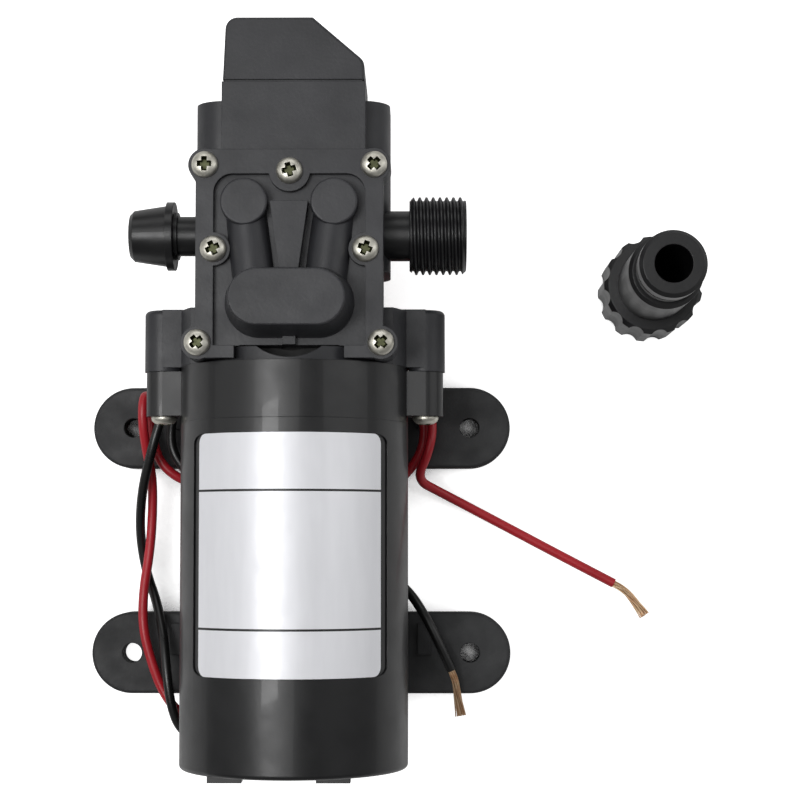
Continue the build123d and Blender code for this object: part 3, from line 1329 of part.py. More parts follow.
def tube(name, points, radius):
    """A tube along straight runs joined by tangent arcs; prints what it measures."""
    radii = corner_radii(points)
    path = FilletPolyline(*points, radius=radii)
    body = sweep(Plane(origin=path @ 0, z_dir=path % 0) * Circle(radius), path=path)
    plain = pi * radius**2 * path.length
    print(name, "length", round(path.length, 1), "volume share", round(body.volume / plain, 4))
    print("  radii", [round(r, 1) for r in radii])
    return body


def out_of_switch(route):
    """Where a switch lead meets the outlet's lower face, over its route's first point."""
    x, y = route[0][:2]
    return [(x, y, SWITCH_BOTTOM - OUTLET_PROUD)]


def red_motor_lead():
    """From the switch, beneath the motor and back to the motor's rear."""
    entry, near = out_of_grommet(1)
    route = out_of_switch(RED_MOTOR_ROUTE) + RED_MOTOR_ROUTE + [near, entry]
    return tube("red_motor_lead", route, WIRE_R)


def black_lead():
    """From the motor's rear, beneath the motor and out over the rear foot."""
    entry, near = out_of_grommet(-1)
    return tube("black_lead", [entry, near] + BLACK_ROUTE, WIRE_R)


def red_supply_lead():
    """From the switch, past the right ear and out across the ground."""
    return tube("red_supply_lead", out_of_switch(RED_SUPPLY_ROUTE) + RED_SUPPLY_ROUTE, WIRE_R)


def bare_strands(route, bend, tip):
    """The bare copper strands beyond the end of a lead's insulation."""
    end = Vector(*route[-1])
    heading = (end - Vector(*route[-2])).normalized()
    start = end + heading * STRAND_R * 2
    points = [tuple(end), tuple(start), bend, tip]
    path = FilletPolyline(*points, radius=corner_radii(points))
    return sweep(Plane(origin=path @ 0, z_dir=path % 0) * Circle(STRAND_R), path=path)


# Loose connector

def connector_nut():
    """The swivel nut with its scalloped grip, wider inside above its thread."""
    body = bar_z(NUT_R, 0, NUT_H)
    body = chamfer(body.edges().filter_by(GeomType.CIRCLE).sort_by(Axis.Z)[-1], NUT_EDGE)
    reach = NUT_R + NUT_LOBE_R - NUT_LOBE_DEPTH
    for step in range(NUT_LOBES):
        lobe = bar_z(NUT_LOBE_R, -OVERRUN, NUT_H + OVERRUN, reach, 0)
        body -= Rot(0, 0, step * 360 / NUT_LOBES) * lobe
    body -= bar_z(NUT_BORE_R, -OVERRUN, NUT_THREAD_L)
    body -= bar_z(NUT_RELIEF_R, NUT_THREAD_L, NUT_H - NUT_LIP_T)
    body -= bar_z(TAIL_NECK_R + SEAT_GAP, 0, NUT_H + OVERRUN)
    return one(Pos(LOOSE_X, LOOSE_Y, 0) * body)


def connector_tail():
    """The hose tail: a flange in the nut, a shoulder on it, a ring and a nose."""
    flange_top = NUT_H - NUT_LIP_T - RUN_GAP
    flange_low = flange_top - TAIL_FLANGE_T
    seat = NUT_H + RUN_GAP
    ring = TAIL_RING_Z + TAIL_RING_T
    nose = TAIL_H - TAIL_NOSE_L
    body = turned([
        (TAIL_BORE_R, flange_low),
        (TAIL_FLANGE_R, flange_low),
        (TAIL_FLANGE_R, flange_top),
        (TAIL_NECK_R, flange_top),
        (TAIL_NECK_R, seat),
        (TAIL_SHOULDER_R, seat),
        (TAIL_SHOULDER_R, TAIL_SHOULDER_Z - TAIL_EDGE),
        (TAIL_SHOULDER_R - TAIL_EDGE, TAIL_SHOULDER_Z),
        (TAIL_WAIST_R, TAIL_SHOULDER_Z),
        (TAIL_WAIST_R, TAIL_RING_Z),
        (TAIL_RING_R, TAIL_RING_Z),
        (TAIL_RING_R, ring),
        (TAIL_WAIST_R, ring),
        (TAIL_WAIST_R, nose),
        (TAIL_NOSE_R, nose),
        (TAIL_NOSE_R, TAIL_H - TAIL_EDGE),
        (TAIL_NOSE_R - TAIL_EDGE, TAIL_H),
        (TAIL_BORE_R, TAIL_H),
    ])
    return Pos(LOOSE_X, LOOSE_Y, 0) * body


def connector_washer():
    """The rubber washer under the tail's flange."""
    top = NUT_H - NUT_LIP_T - RUN_GAP - TAIL_FLANGE_T
    body = bar_z(NUT_BORE_R - SEAT_GAP, top - WASHER_T, top)
    body -= bar_z(TAIL_BORE_R, top - WASHER_T - OVERRUN, top + OVERRUN)
    return Pos(LOOSE_X, LOOSE_Y, 0) * body


def main():
    os.makedirs("parts", exist_ok=True)
    nodes = (
        motor_sleeve,
        motor_label,
        motor_can,
        field_magnets,
        rear_end_bell,
        front_cap,
        rotor_shaft,
        armature_core,
        armature_winding,
        commutator,
        brush_holder,
        brushes,
        brush_springs,
        motor_terminals,
        lead_grommet,
        eccentric,
        rod_bearing,
        connecting_rod,
        pump_diaphragm,
        clamp_plate,
        clamp_screw,
        crankcase,
        valve_body,
        inlet_valve,
        outlet_valve,
        head_cover,
        cover_screws,
        ear_screws,
        switch_cap,
        lead_outlet,
        switch_diaphragm,
        switch_plunger,
        switch_spring,
        microswitch,
        microswitch_button,
        switch_cap_screws,
        threaded_port,
        snap_port,
        port_seals,
        front_foot,
        rear_foot,
        foot_screws,
        red_motor_lead,
        black_lead,
        red_supply_lead,
        connector_nut,
        connector_tail,
        connector_washer,
    )
    for make in nodes:
        export(make.__name__, make())
    export("rear_bearing", bearing(REAR_BEARING_Y, BEARING_L, BEARING_R, SHAFT_R + RUN_GAP))
    export("front_bearing", bearing(CAP_WALL_Y - BEARING_L, BEARING_L, BEARING_R, SHAFT_R + RUN_GAP))
    export("black_strands", bare_strands(BLACK_ROUTE, BLACK_STRANDS_BEND, BLACK_STRANDS_TIP))
    export("red_strands", bare_strands(RED_SUPPLY_ROUTE, RED_STRANDS_BEND, RED_STRANDS_TIP))


main()
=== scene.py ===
import bpy
import json
from math import atan, cos, pi, radians, sin
from mathutils import Matrix, Vector


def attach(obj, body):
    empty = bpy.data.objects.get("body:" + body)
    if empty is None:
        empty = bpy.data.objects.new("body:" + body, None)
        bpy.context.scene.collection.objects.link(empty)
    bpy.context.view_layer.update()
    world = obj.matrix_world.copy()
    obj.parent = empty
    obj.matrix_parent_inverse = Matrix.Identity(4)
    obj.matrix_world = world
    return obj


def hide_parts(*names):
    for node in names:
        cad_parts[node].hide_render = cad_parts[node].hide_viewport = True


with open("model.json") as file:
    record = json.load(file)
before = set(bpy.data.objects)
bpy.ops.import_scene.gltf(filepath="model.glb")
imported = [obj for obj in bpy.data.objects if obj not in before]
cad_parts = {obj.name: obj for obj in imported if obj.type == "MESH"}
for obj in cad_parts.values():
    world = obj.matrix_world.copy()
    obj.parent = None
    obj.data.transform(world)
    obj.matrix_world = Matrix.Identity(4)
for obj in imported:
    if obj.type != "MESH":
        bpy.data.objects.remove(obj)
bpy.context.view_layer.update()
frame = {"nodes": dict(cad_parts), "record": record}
nodes = frame["nodes"]
slot_of = {s["node"]: s["material_slot"] for s in frame["record"]["subparts"]}
MM = 0.001

# Leads: the routes of the solids, in metres. Four points of the red motor lead, beside the
# right ear, are moved by up to 3.4 mm, so that it shows there as in the photo.
LEAD_R = 0.00135
RED_MOTOR = [
    (0.004, 0.1322, 0.025),
    (0.004, 0.1322, 0.0185),
    (0.0046, 0.1282, 0.0124),
    (0.0065, 0.1202, 0.0078),
    (0.0095, 0.1084, 0.0055),
    (0.013, 0.0948, 0.005),
    (0.0148, 0.0806, 0.0054),
    (0.0162, 0.067, 0.007),
    (0.0232, 0.055, 0.0102),
    (0.0323, 0.044, 0.0116),
    (0.0359, 0.0332, 0.0114),
    (0.0349, 0.0248, 0.0108),
    (0.0286, 0.0168, 0.008),
    (0.018, 0.0126, 0.005),
    (0.006, 0.0126, 0.0032),
    (-0.005, 0.0144, 0.0034),
    (-0.0146, 0.0146, 0.004),
    (-0.0245, 0.0148, 0.0068),
    (-0.0338, 0.0168, 0.011),
    (-0.0402, 0.0216, 0.012),
    (-0.0426, 0.029, 0.0118),
    (-0.0432, 0.0364, 0.012),
    (-0.0438, 0.0416, 0.0142),
    (-0.0444, 0.0404, 0.0188),
    (-0.0446, 0.0334, 0.0188),
    (-0.0438, 0.0256, 0.016),
    (-0.0424, 0.018, 0.013),
    (-0.0426, 0.0075, 0.0106),
    (-0.0434, -0.0035, 0.0102),
    (-0.045, -0.0145, 0.0118),
    (-0.045, -0.025, 0.0126),
    (-0.0426, -0.0345, 0.0122),
    (-0.0394, -0.0432, 0.0116),
    (-0.0348, -0.0492, 0.012),
    (-0.029799, -0.051, 0.013996),
    (-0.025662, -0.051, 0.017467),
]
BLACK = [
    (-0.025662, -0.056, 0.017467),
    (-0.029799, -0.056, 0.013996),
    (-0.0342, -0.0534, 0.0146),
    (-0.0364, -0.0464, 0.0166),
    (-0.0376, -0.037, 0.0168),
    (-0.0387, -0.0275, 0.0144),
    (-0.0414, -0.018, 0.0086),
    (-0.0452, -0.009, 0.0052),
    (-0.0466, 0.0025, 0.0088),
    (-0.045, 0.014, 0.0162),
    (-0.042, 0.0245, 0.02),
    (-0.0396, 0.033, 0.0208),
    (-0.0372, 0.0396, 0.0202),
    (-0.0354, 0.0394, 0.0149),
    (-0.0372, 0.0316, 0.0144),
    (-0.0364, 0.0244, 0.0148),
    (-0.0308, 0.0176, 0.0142),
    (-0.0205, 0.011, 0.0104),
    (-0.01, 0.0055, 0.0056),
    (0.0025, -0.0006, 0.0034),
    (0.0145, -0.0056, 0.0034),
    (0.024, -0.009, 0.0052),
    (0.0312, -0.0146, 0.0098),
    (0.0358, -0.0216, 0.0138),
    (0.0398, -0.0294, 0.0138),
    (0.0433, -0.0371, 0.012),
]
RED_SUPPLY = [
    (0.0105, 0.1322, 0.025),
    (0.0105, 0.1322, 0.0185),
    (0.011, 0.1282, 0.0124),
    (0.0128, 0.1202, 0.0078),
    (0.0156, 0.1084, 0.0055),
    (0.0184, 0.0948, 0.005),
    (0.0202, 0.0806, 0.0052),
    (0.021, 0.067, 0.0068),
    (0.0284, 0.0554, 0.0106),
    (0.0352, 0.0445, 0.0134),
    (0.0382, 0.0336, 0.0138),
    (0.0369, 0.0252, 0.0148),
    (0.0332, 0.0174, 0.0102),
    (0.04, 0.014, 0.0048),
    (0.0495, 0.0091, 0.0028),
    (0.0615, 0.0028, 0.0019),
    (0.0764, -0.0051, 0.0015),
    (0.0908, -0.0126, 0.00145),
]
BLACK_STRANDS = [
    (0.042895, -0.03621, 0.012208),
    (0.043948, -0.038525, 0.011667),
    (0.0449, -0.0434, 0.0106),
    (0.0461, -0.0504, 0.0078),
]
RED_STRANDS = [
    (0.089913, -0.012138, 0.001453),
    (0.092219, -0.013339, 0.001445),
    (0.0962, -0.0167, 0.0013),
    (0.0998, -0.0219, 0.00115),
]
STRANDS, STRAND_R = 17, 0.00018
STRAND_SPREAD, STRAND_FRAY = 0.00105, 0.0016  # how far out the wires lie, and at the tip
STRAND_TURN, STRAND_TWIST = 2.4, 0.6          # radians from wire to wire and point to point
STRAND_FLAT = 0.6                             # the bundle's height, of its width


# Materials

def new_material(name):
    """An empty principled material: its node tree and its shader."""
    mat = bpy.data.materials.new(name)
    mat.use_nodes = True
    tree = mat.node_tree
    return mat, tree, tree.nodes["Principled BSDF"]


def feed(tree, socket, given):
    """Links a socket to another, or gives it a fixed value."""
    if isinstance(given, bpy.types.NodeSocket):
        tree.links.new(given, socket)
    else:
        socket.default_value = given


def maths(tree, kind, *given):
    """The result of a maths node."""
    node = tree.nodes.new("ShaderNodeMath")
    node.operation = kind
    for socket, value in zip(node.inputs, given):
        feed(tree, socket, value)
    return node.outputs[0]


def mixed(tree, share, low, high):
    """A colour between two others."""
    node = tree.nodes.new("ShaderNodeMix")
    node.data_type = "RGBA"
    for name, value in (("Factor", share), ("A", low), ("B", high)):
        feed(tree, node.inputs[name], value)
    return node.outputs["Result"]


def noise(tree, scale, detail, stretch=None):
    """A noise texture in the object's own coordinates, stretched along an axis if asked."""
    tex = tree.nodes.new("ShaderNodeTexNoise")
    tex.inputs["Scale"].default_value = scale
    tex.inputs["Detail"].default_value = detail
    coord = tree.nodes.new("ShaderNodeTexCoord")
    if stretch is None:
        tree.links.new(coord.outputs["Object"], tex.inputs["Vector"])
        return tex
    mapping = tree.nodes.new("ShaderNodeMapping")
    mapping.inputs["Scale"].default_value = stretch
    tree.links.new(coord.outputs["Object"], mapping.inputs["Vector"])
    tree.links.new(mapping.outputs["Vector"], tex.inputs["Vector"])
    return tex


RAMP_FROM, RAMP_TO = 0.3, 0.7


def ramp(tree, source, low, high):
    """Maps a texture's value to a colour between two others."""
    node = tree.nodes.new("ShaderNodeValToRGB")
    node.color_ramp.elements[0].position = RAMP_FROM
    node.color_ramp.elements[1].position = RAMP_TO
    node.color_ramp.elements[0].color = low
    node.color_ramp.elements[1].color = high
    tree.links.new(source, node.inputs["Fac"])
    return node.outputs["Color"]


def grey(value):
    return (value, value, value, 1.0)


def soft_edges(tree, radius):
    """Edges that catch the light as if they were slightly rounded."""
    bevel = tree.nodes.new("ShaderNodeBevel")
    bevel.samples = 4
    bevel.inputs["Radius"].default_value = radius
    return bevel.outputs["Normal"]


def grain(tree, shader, scale, depth, edge, stretch=None):
    """A fine relief over softened edges."""
    tex = noise(tree, scale, 6.0, stretch)
    bump = tree.nodes.new("ShaderNodeBump")
    bump.inputs["Strength"].default_value = 1.0
    bump.inputs["Distance"].default_value = depth
    tree.links.new(tex.outputs["Fac"], bump.inputs["Height"])
    tree.links.new(soft_edges(tree, edge), bump.inputs["Normal"])
    tree.links.new(bump.outputs["Normal"], shader.inputs["Normal"])


# Scales of the noise that varies the shade and the gloss, and of a metal's relief
SHADE_SCALE, GLOSS_SCALE = 55, 130
METAL_SHADE_SCALE, METAL_GLOSS_SCALE, METAL_GRAIN_SCALE = 260, 900, 1800
METAL_EDGE = 0.00015


def moulded(name, dark, light, rough, scale=1400, depth=0.00003, edge=0.0003):
    """Moulded plastic or rubber: a fine grain, and a slight variation of shade and gloss."""
    mat, tree, shader = new_material(name)
    shade = noise(tree, SHADE_SCALE, 6.0)
    tree.links.new(ramp(tree, shade.outputs["Fac"], dark, light), shader.inputs["Base Color"])
    gloss = noise(tree, GLOSS_SCALE, 5.0)
    low, high = grey(rough[0]), grey(rough[1])
    tree.links.new(ramp(tree, gloss.outputs["Fac"], low, high), shader.inputs["Roughness"])
    grain(tree, shader, scale, depth, edge)
    return mat


def metal(name, dark, light, rough, stretch=None, depth=0.000004):
    """Plated or drawn metal with fine marks."""
    mat, tree, shader = new_material(name)
    shader.inputs["Metallic"].default_value = 1.0
    shade = noise(tree, METAL_SHADE_SCALE, 5.0, stretch)
    tree.links.new(ramp(tree, shade.outputs["Fac"], dark, light), shader.inputs["Base Color"])
    marks = noise(tree, METAL_GLOSS_SCALE, 6.0, stretch)
    low, high = grey(rough[0]), grey(rough[1])
    tree.links.new(ramp(tree, marks.outputs["Fac"], low, high), shader.inputs["Roughness"])
    grain(tree, shader, METAL_GRAIN_SCALE, depth, METAL_EDGE, stretch)
    return mat


def paint_shade_on(tree, shader, mark, colour):
    """Darkens a piece with painted shade where its faces carry a mark, such as the bottom of a
    recess.
    """
    told = tree.nodes.new("ShaderNodeAttribute")
    told.attribute_name = mark
    # the unshaded colour, and the painted shade mixed over it by the mark
    unshaded = shader.inputs["Base Color"].links[0].from_socket
    tree.links.new(mixed(tree, told.outputs["Fac"], unshaded, colour), shader.inputs["Base Color"])


def motor_black():
    mat = moulded(
        "motor_black", dark=(0.0045, 0.0046, 0.0052, 1), light=(0.0075, 0.0077, 0.0086, 1),
        rough=(0.30, 0.42), scale=900, depth=0.00001,
    )
    mat.node_tree.nodes["Principled BSDF"].inputs["Coat Weight"].default_value = 0.15
    return mat


def head_plastic():
    return moulded(
        "head_plastic", dark=(0.021, 0.0215, 0.0245, 1), light=(0.033, 0.0335, 0.038, 1),
        rough=(0.38, 0.52), scale=1100, depth=0.00004,
    )


def port_plastic():
    return moulded(
        "port_plastic", dark=(0.0045, 0.0045, 0.005, 1), light=(0.008, 0.008, 0.009, 1),
        rough=(0.28, 0.40), scale=1000, depth=0.00002,
    )


def inner_plastic():
    return moulded(
        "inner_plastic", dark=(0.60, 0.60, 0.56, 1), light=(0.72, 0.72, 0.68, 1), rough=(0.35, 0.5),
    )


def foot_rubber():
    return moulded(
        "foot_rubber", dark=(0.013, 0.0135, 0.0145, 1), light=(0.024, 0.025, 0.0265, 1),
        rough=(0.50, 0.70), scale=800, depth=0.00008, edge=0.0005,
    )


def seal_rubber():
    return moulded(
        "seal_rubber", dark=(0.016, 0.016, 0.016, 1), light=(0.028, 0.028, 0.028, 1),
        rough=(0.5, 0.7), scale=900, depth=0.00006,
    )


def card():
    return moulded(
        "card", dark=(0.30, 0.17, 0.08, 1), light=(0.46, 0.29, 0.15, 1),
        rough=(0.5, 0.7), scale=600, depth=0.00004,
    )


def magnet():
    return moulded(
        "magnet", dark=(0.05, 0.05, 0.055, 1), light=(0.11, 0.11, 0.12, 1),
        rough=(0.5, 0.7), scale=700, depth=0.00006,
    )


def carbon():
    return moulded(
        "carbon", dark=(0.012, 0.012, 0.013, 1), light=(0.03, 0.03, 0.03, 1),
        rough=(0.5, 0.65), scale=900, depth=0.00005,
    )


def lead_red():
    return moulded(
        "lead_red", dark=(0.40, 0.011, 0.019, 1), light=(0.54, 0.020, 0.032, 1),
        rough=(0.30, 0.42), scale=700, depth=0.000015, edge=0.0001,
    )


def lead_black():
    return moulded(
        "lead_black", dark=(0.005, 0.005, 0.005, 1), light=(0.010, 0.010, 0.010, 1),
        rough=(0.26, 0.38), scale=700, depth=0.000015, edge=0.0001,
    )


def steel():
    return metal(
        "steel", dark=(0.50, 0.50, 0.49, 1), light=(0.66, 0.66, 0.64, 1),
        rough=(0.22, 0.38), stretch=(1, 0.08, 1),
    )


def screw_nickel():
    mat = metal(
        "screw_nickel", dark=(0.56, 0.54, 0.47, 1), light=(0.80, 0.78, 0.70, 1),
        rough=(0.34, 0.52), depth=0.000012,
    )
    tree = mat.node_tree
    # painted shade: a dark olive colour mixed into the faces of the cross recess
    paint_shade_on(tree, tree.nodes["Principled BSDF"], "recess", (0.085, 0.09, 0.05, 1))
    return mat


def copper():
    return metal(
        "copper", dark=(0.70, 0.42, 0.24, 1), light=(0.95, 0.74, 0.50, 1), rough=(0.28, 0.42),
    )


def brass_tabs():
    return metal(
        "brass_tabs", dark=(0.62, 0.46, 0.18, 1), light=(0.80, 0.64, 0.32, 1), rough=(0.25, 0.40),
    )


# The label's two rules: their places along the motor, half their width and their colour
LABEL_RULES = (0.0129, -0.0232)
RULE_HALF = 0.0003
RULE_BLACK = grey(0.02)


def rule(tree, along, place, colour):
    """A thin black line across the label at a place along the motor."""
    away = maths(tree, "ABSOLUTE", maths(tree, "SUBTRACT", along, place))
    inside = maths(tree, "LESS_THAN", away, RULE_HALF)
    return mixed(tree, inside, colour, RULE_BLACK)


def label_silver():
    """Silver foil with two thin black rules across it and nothing else printed."""
    mat, tree, shader = new_material("label_silver")
    shader.inputs["Metallic"].default_value = 0.15
    foil = noise(tree, 380, 6.0, stretch=(1, 0.15, 1))
    colour = ramp(tree, foil.outputs["Fac"], (0.86, 0.865, 0.90, 1), (0.90, 0.905, 0.94, 1))
    coord = tree.nodes.new("ShaderNodeTexCoord")
    split = tree.nodes.new("ShaderNodeSeparateXYZ")
    tree.links.new(coord.outputs["Object"], split.inputs["Vector"])
    for place in LABEL_RULES:
        colour = rule(tree, split.outputs["Y"], place, colour)
    tree.links.new(colour, shader.inputs["Base Color"])
    gloss = noise(tree, 200, 5.0)
    low, high = grey(0.30), grey(0.42)
    tree.links.new(ramp(tree, gloss.outputs["Fac"], low, high), shader.inputs["Roughness"])
    grain(tree, shader, scale=1500, depth=0.000006, edge=0.0001)
    return mat


MATERIALS = {m.__name__: m() for m in (
    motor_black, head_plastic, port_plastic, inner_plastic, foot_rubber, seal_rubber, card,
    magnet, carbon, lead_red, lead_black, steel, screw_nickel, copper, brass_tabs, label_silver,
)}


def paint_nodes():
    """Every CAD node takes the material of its slot."""
    for name, node in nodes.items():
        node.data.materials.clear()
        node.data.materials.append(MATERIALS[slot_of[name]])


# Small helpers for pieces

def piece(name, data, body, slot, node):
    """A piece made here: linked, painted, riding on its body and standing for a node."""
    obj = bpy.data.objects.new(name, data)
    bpy.context.scene.collection.objects.link(obj)
    data.materials.clear()
    data.materials.append(MATERIALS[slot])
    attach(obj, body)
    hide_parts(node)
    return obj


def mesh_from(name, verts, faces, smooth=True):
    data = bpy.data.meshes.new(name)
    data.from_pydata(verts, [], faces)
    data.update()
    if smooth:
        data.polygons.foreach_set("use_smooth", [True] * len(data.polygons))
    return data


def spline(data, points, radius):
    """A NURBS spline with the points as its control points, from the first to the last."""
    line = data.splines.new("NURBS")
    line.points.add(len(points) - 1)
    for dot, place in zip(line.points, points):
        dot.co = (*place, 1)
    line.order_u = 3
    line.use_endpoint_u = True
    line.resolution_u = 12
    data.bevel_depth = radius


def wire(name, routes, radius, slot, node):
    data = bpy.data.curves.new(name, "CURVE")
    data.dimensions = "3D"
    data.bevel_resolution = 5
    data.use_fill_caps = True
    for points in routes:
        spline(data, points, radius)
    return piece(name, data, "pump", slot, node)


# Leads

def strand_routes(points):
    """The thin wires of a bare end, laid round its middle line and opening at the tip."""
    middle = [Vector(p) for p in points]
    last = len(points) - 1
    routes = []
    for k in range(STRANDS):
        route = []
        share = ((k + 0.5) / STRANDS) ** 0.5
        for i, place in enumerate(middle):
            reach = share * (STRAND_FRAY if i == last else STRAND_SPREAD)
            along = middle[min(i + 1, last)] - middle[max(i - 1, 0)]
            across = along.cross(Vector((0, 0, 1))).normalized()
            turn = k * STRAND_TURN + i * STRAND_TWIST
            rise = Vector((0, 0, sin(turn) * reach * STRAND_FLAT))
            route.append(tuple(place + across * cos(turn) * reach + rise))
        routes.append(route)
    return routes


def leads():
    """The three leads with the bare copper at the two free ends."""
    motor = wire("red_motor_flex", [RED_MOTOR], LEAD_R, "lead_red", "red_motor_lead")
    black = wire("black_flex", [BLACK], LEAD_R, "lead_black", "black_lead")
    supply = wire("red_supply_flex", [RED_SUPPLY], LEAD_R, "lead_red", "red_supply_lead")
    wires = strand_routes(BLACK_STRANDS)
    black_end = wire("black_bare_strands", wires, STRAND_R, "copper", "black_strands")
    wires = strand_routes(RED_STRANDS)
    red_end = wire("red_bare_strands", wires, STRAND_R, "copper", "red_strands")


# Screws

HEAD_R, HEAD_H, SHANK_R = 0.0035, 0.0023, 0.0016
RIM_SHARE, RIM_EDGE, RIM_H = 0.97, 0.0002, 0.0004  # the head's lower edge and its rim
TIP_SHARE, TIP_EDGE = 0.8, 0.0006                  # the narrower tip of the shank
DOME_STEPS, DOME_FROM, DOME_POWER = 8, 10, 0.75    # DOME_FROM in degrees
LATHE_COUNT = 48
# The cross's arms at the top and the bottom, and how far it goes over and under the head's top
CROSS_REACH, CROSS_HALF = (0.0021, 0.0012), (0.00078, 0.00052)
CROSS_OVER, CROSS_DEPTH = 0.0002, 0.0017
# The cross's faces lie this far under the dome and within this share of the head
RECESS_UNDER, RECESS_SHARE = 0.00012, 0.75
SCREW_SHARP = 32  # degrees between faces that meet in an edge
# Lengths in metres, seats in millimetres, turns of the crosses in degrees
LONG_SCREW, SHORT_SCREW, EAR_SCREW, CAP_SCREW = 0.016, 0.010, 0.0199, 0.0139
COVER_TOP = 65
COVER_SCREW_SEATS = (
    (-22.2, 98.3, LONG_SCREW, 0),
    (0, 96.7, LONG_SCREW, 15),
    (22.2, 98.3, LONG_SCREW, 45),
    (-19.9, 76.1, SHORT_SCREW, 24),
    (19.9, 76.1, SHORT_SCREW, 70),
    (-24.0, 51.5, LONG_SCREW, 38),
    (24.0, 51.5, LONG_SCREW, 47),
)
EAR_Y, EAR_Z = 33.7, 39
EAR_SCREW_SEATS = ((-35.8, 25), (35.8, 60))
CAP_Y = 127.5
CAP_SCREW_SEATS = ((-13.6, 49.0, 15), (12.4, 36.5, 50))


def lathe(profile, count):
    """Vertices and faces of a closed body turned about Z from (radius, height) points."""
    verts, faces = [], []
    rings = []
    for radius, height in profile:
        if radius == 0:
            rings.append([len(verts)])
            verts.append((0, 0, height))
        else:
            start = len(verts)
            rings.append(list(range(start, start + count)))
            for k in range(count):
                turn = 2 * pi * k / count
                verts.append((radius * cos(turn), radius * sin(turn), height))
    for low, high in zip(rings, rings[1:]):
        for k in range(count):
            face = [low[k % len(low)], low[(k + 1) % len(low)]]
            face += [high[(k + 1) % len(high)], high[k % len(high)]]
            face = [v for i, v in enumerate(face) if v not in face[:i]]
            if len(face) > 2:
                faces.append(face)
    return verts, faces


def cross_cutter():
    """The tapered cross of a screw's recess, its point at the bottom."""
    arms = []
    for turn in (0, 90):
        bpy.ops.mesh.primitive_cube_add(size=1)
        arm = bpy.context.object
        for v in arm.data.vertices:
            end = 0 if v.co.z > 0 else 1
            reach, half = CROSS_REACH[end], CROSS_HALF[end]
            v.co.x = reach if v.co.x > 0 else -reach
            v.co.y = half if v.co.y > 0 else -half
            v.co.z = HEAD_H - CROSS_DEPTH if end else HEAD_H + CROSS_OVER
        arm.data.transform(Matrix.Rotation(radians(turn), 4, "Z"))
        arms.append(arm)
    return arms


def screw_mesh(length):
    """A pan-head screw with its cross recess, its head standing on z = 0."""
    profile = [
        (0, -length),
        (SHANK_R * TIP_SHARE, -length),
        (SHANK_R, -length + TIP_EDGE),
        (SHANK_R, 0),
        (HEAD_R * RIM_SHARE, 0),
        (HEAD_R, RIM_EDGE),
    ]
    for step in range(DOME_STEPS):
        turn = radians(DOME_FROM + (90 - DOME_FROM) * (step / DOME_STEPS))
        height = RIM_H + (HEAD_H - RIM_H) * sin(turn)
        profile.append((HEAD_R * cos(turn) ** DOME_POWER, height))
    profile.append((0, HEAD_H))
    verts, faces = lathe(profile, LATHE_COUNT)
    data = mesh_from("screw", verts, faces, False)
    obj = bpy.data.objects.new("screw_blank", data)
    bpy.context.scene.collection.objects.link(obj)
    for arm in cross_cutter():
        cut = obj.modifiers.new("cross", "BOOLEAN")
        cut.operation = "DIFFERENCE"
        cut.object = arm
        cut.solver = "EXACT"
    deps = bpy.context.evaluated_depsgraph_get()
    done = bpy.data.meshes.new_from_object(obj.evaluated_get(deps))
    for cutter in [m.object for m in obj.modifiers]:
        bpy.data.objects.remove(cutter)
    bpy.data.objects.remove(obj)
    mark_recess(done)
    return done


def mark_recess(data):
    """Marks the faces that lie below the head's dome, which are those of the cross, where shade is
    painted.
    """
    mark = data.attributes.new("recess", "FLOAT", "FACE")
    for face in data.polygons:
        x, y, z = face.center
        share = min(1, (x * x + y * y) ** 0.5 / HEAD_R)
        dome = RIM_H + (HEAD_H - RIM_H) * (1 - share ** (2 / DOME_POWER)) ** 0.5
        inside = 0 < z < dome - RECESS_UNDER and share < RECESS_SHARE
        mark.data[face.index].value = float(inside)


def joined(name, parts, body, slot, node):
    """One piece from several placed copies of meshes."""
    verts, faces, marks = [], [], []
    for data, place in parts:
        start = len(verts)
        verts += [tuple(place @ v.co) for v in data.vertices]
        faces += [[start + i for i in p.vertices] for p in data.polygons]
        marks += [d.value for d in data.attributes["recess"].data]
    mesh = mesh_from(name, verts, faces)
    mesh.attributes.new("recess", "FLOAT", "FACE").data.foreach_set("value", marks)
    mesh.set_sharp_from_angle(angle=radians(SCREW_SHARP))
    return piece(name, mesh, body, slot, node)


def seat(x, y, z, facing, turn):
    """Where a screw's head stands, which way it faces and how its cross is turned."""
    turned = Matrix.Rotation(radians(turn), 4, "Z")
    return Matrix.Translation(Vector((x, y, z)) * MM) @ facing @ turned


def screws():
    """The plated cross-head screws of the head, the ears and the switch."""
    up = Matrix.Identity(4)
    mesh = {LONG_SCREW: screw_mesh(LONG_SCREW), SHORT_SCREW: screw_mesh(SHORT_SCREW)}
    parts = [(mesh[length], seat(x, y, COVER_TOP, up, t)) for x, y, length, t in COVER_SCREW_SEATS]
    joined("head_screws", parts, "pump", "screw_nickel", "cover_screws")
    back = Matrix.Rotation(radians(90), 4, "X")
    ear = screw_mesh(EAR_SCREW)
    parts = [(ear, seat(x, EAR_Y, EAR_Z, back, t)) for x, t in EAR_SCREW_SEATS]
    joined("motor_ear_screws", parts, "pump", "screw_nickel", "ear_screws")
    out = Matrix.Rotation(radians(-90), 4, "X")
    cap = screw_mesh(CAP_SCREW)
    parts = [(cap, seat(x, CAP_Y, z, out, t)) for x, z, t in CAP_SCREW_SEATS]
    joined("switch_screws", parts, "pump", "screw_nickel", "switch_cap_screws")


# Label

LABEL_HALF, LABEL_FROM, LABEL_TO, LABEL_CORNER = 0.02728, -0.03568, 0.02788, 0.0027
LABEL_LOW, LABEL_HIGH, MOTOR_Z = 0.03075, 0.03115, 0.039
LABEL_COLUMNS = 60
CORNER_STEP = 10  # degrees
SHARP = 35        # degrees, as above


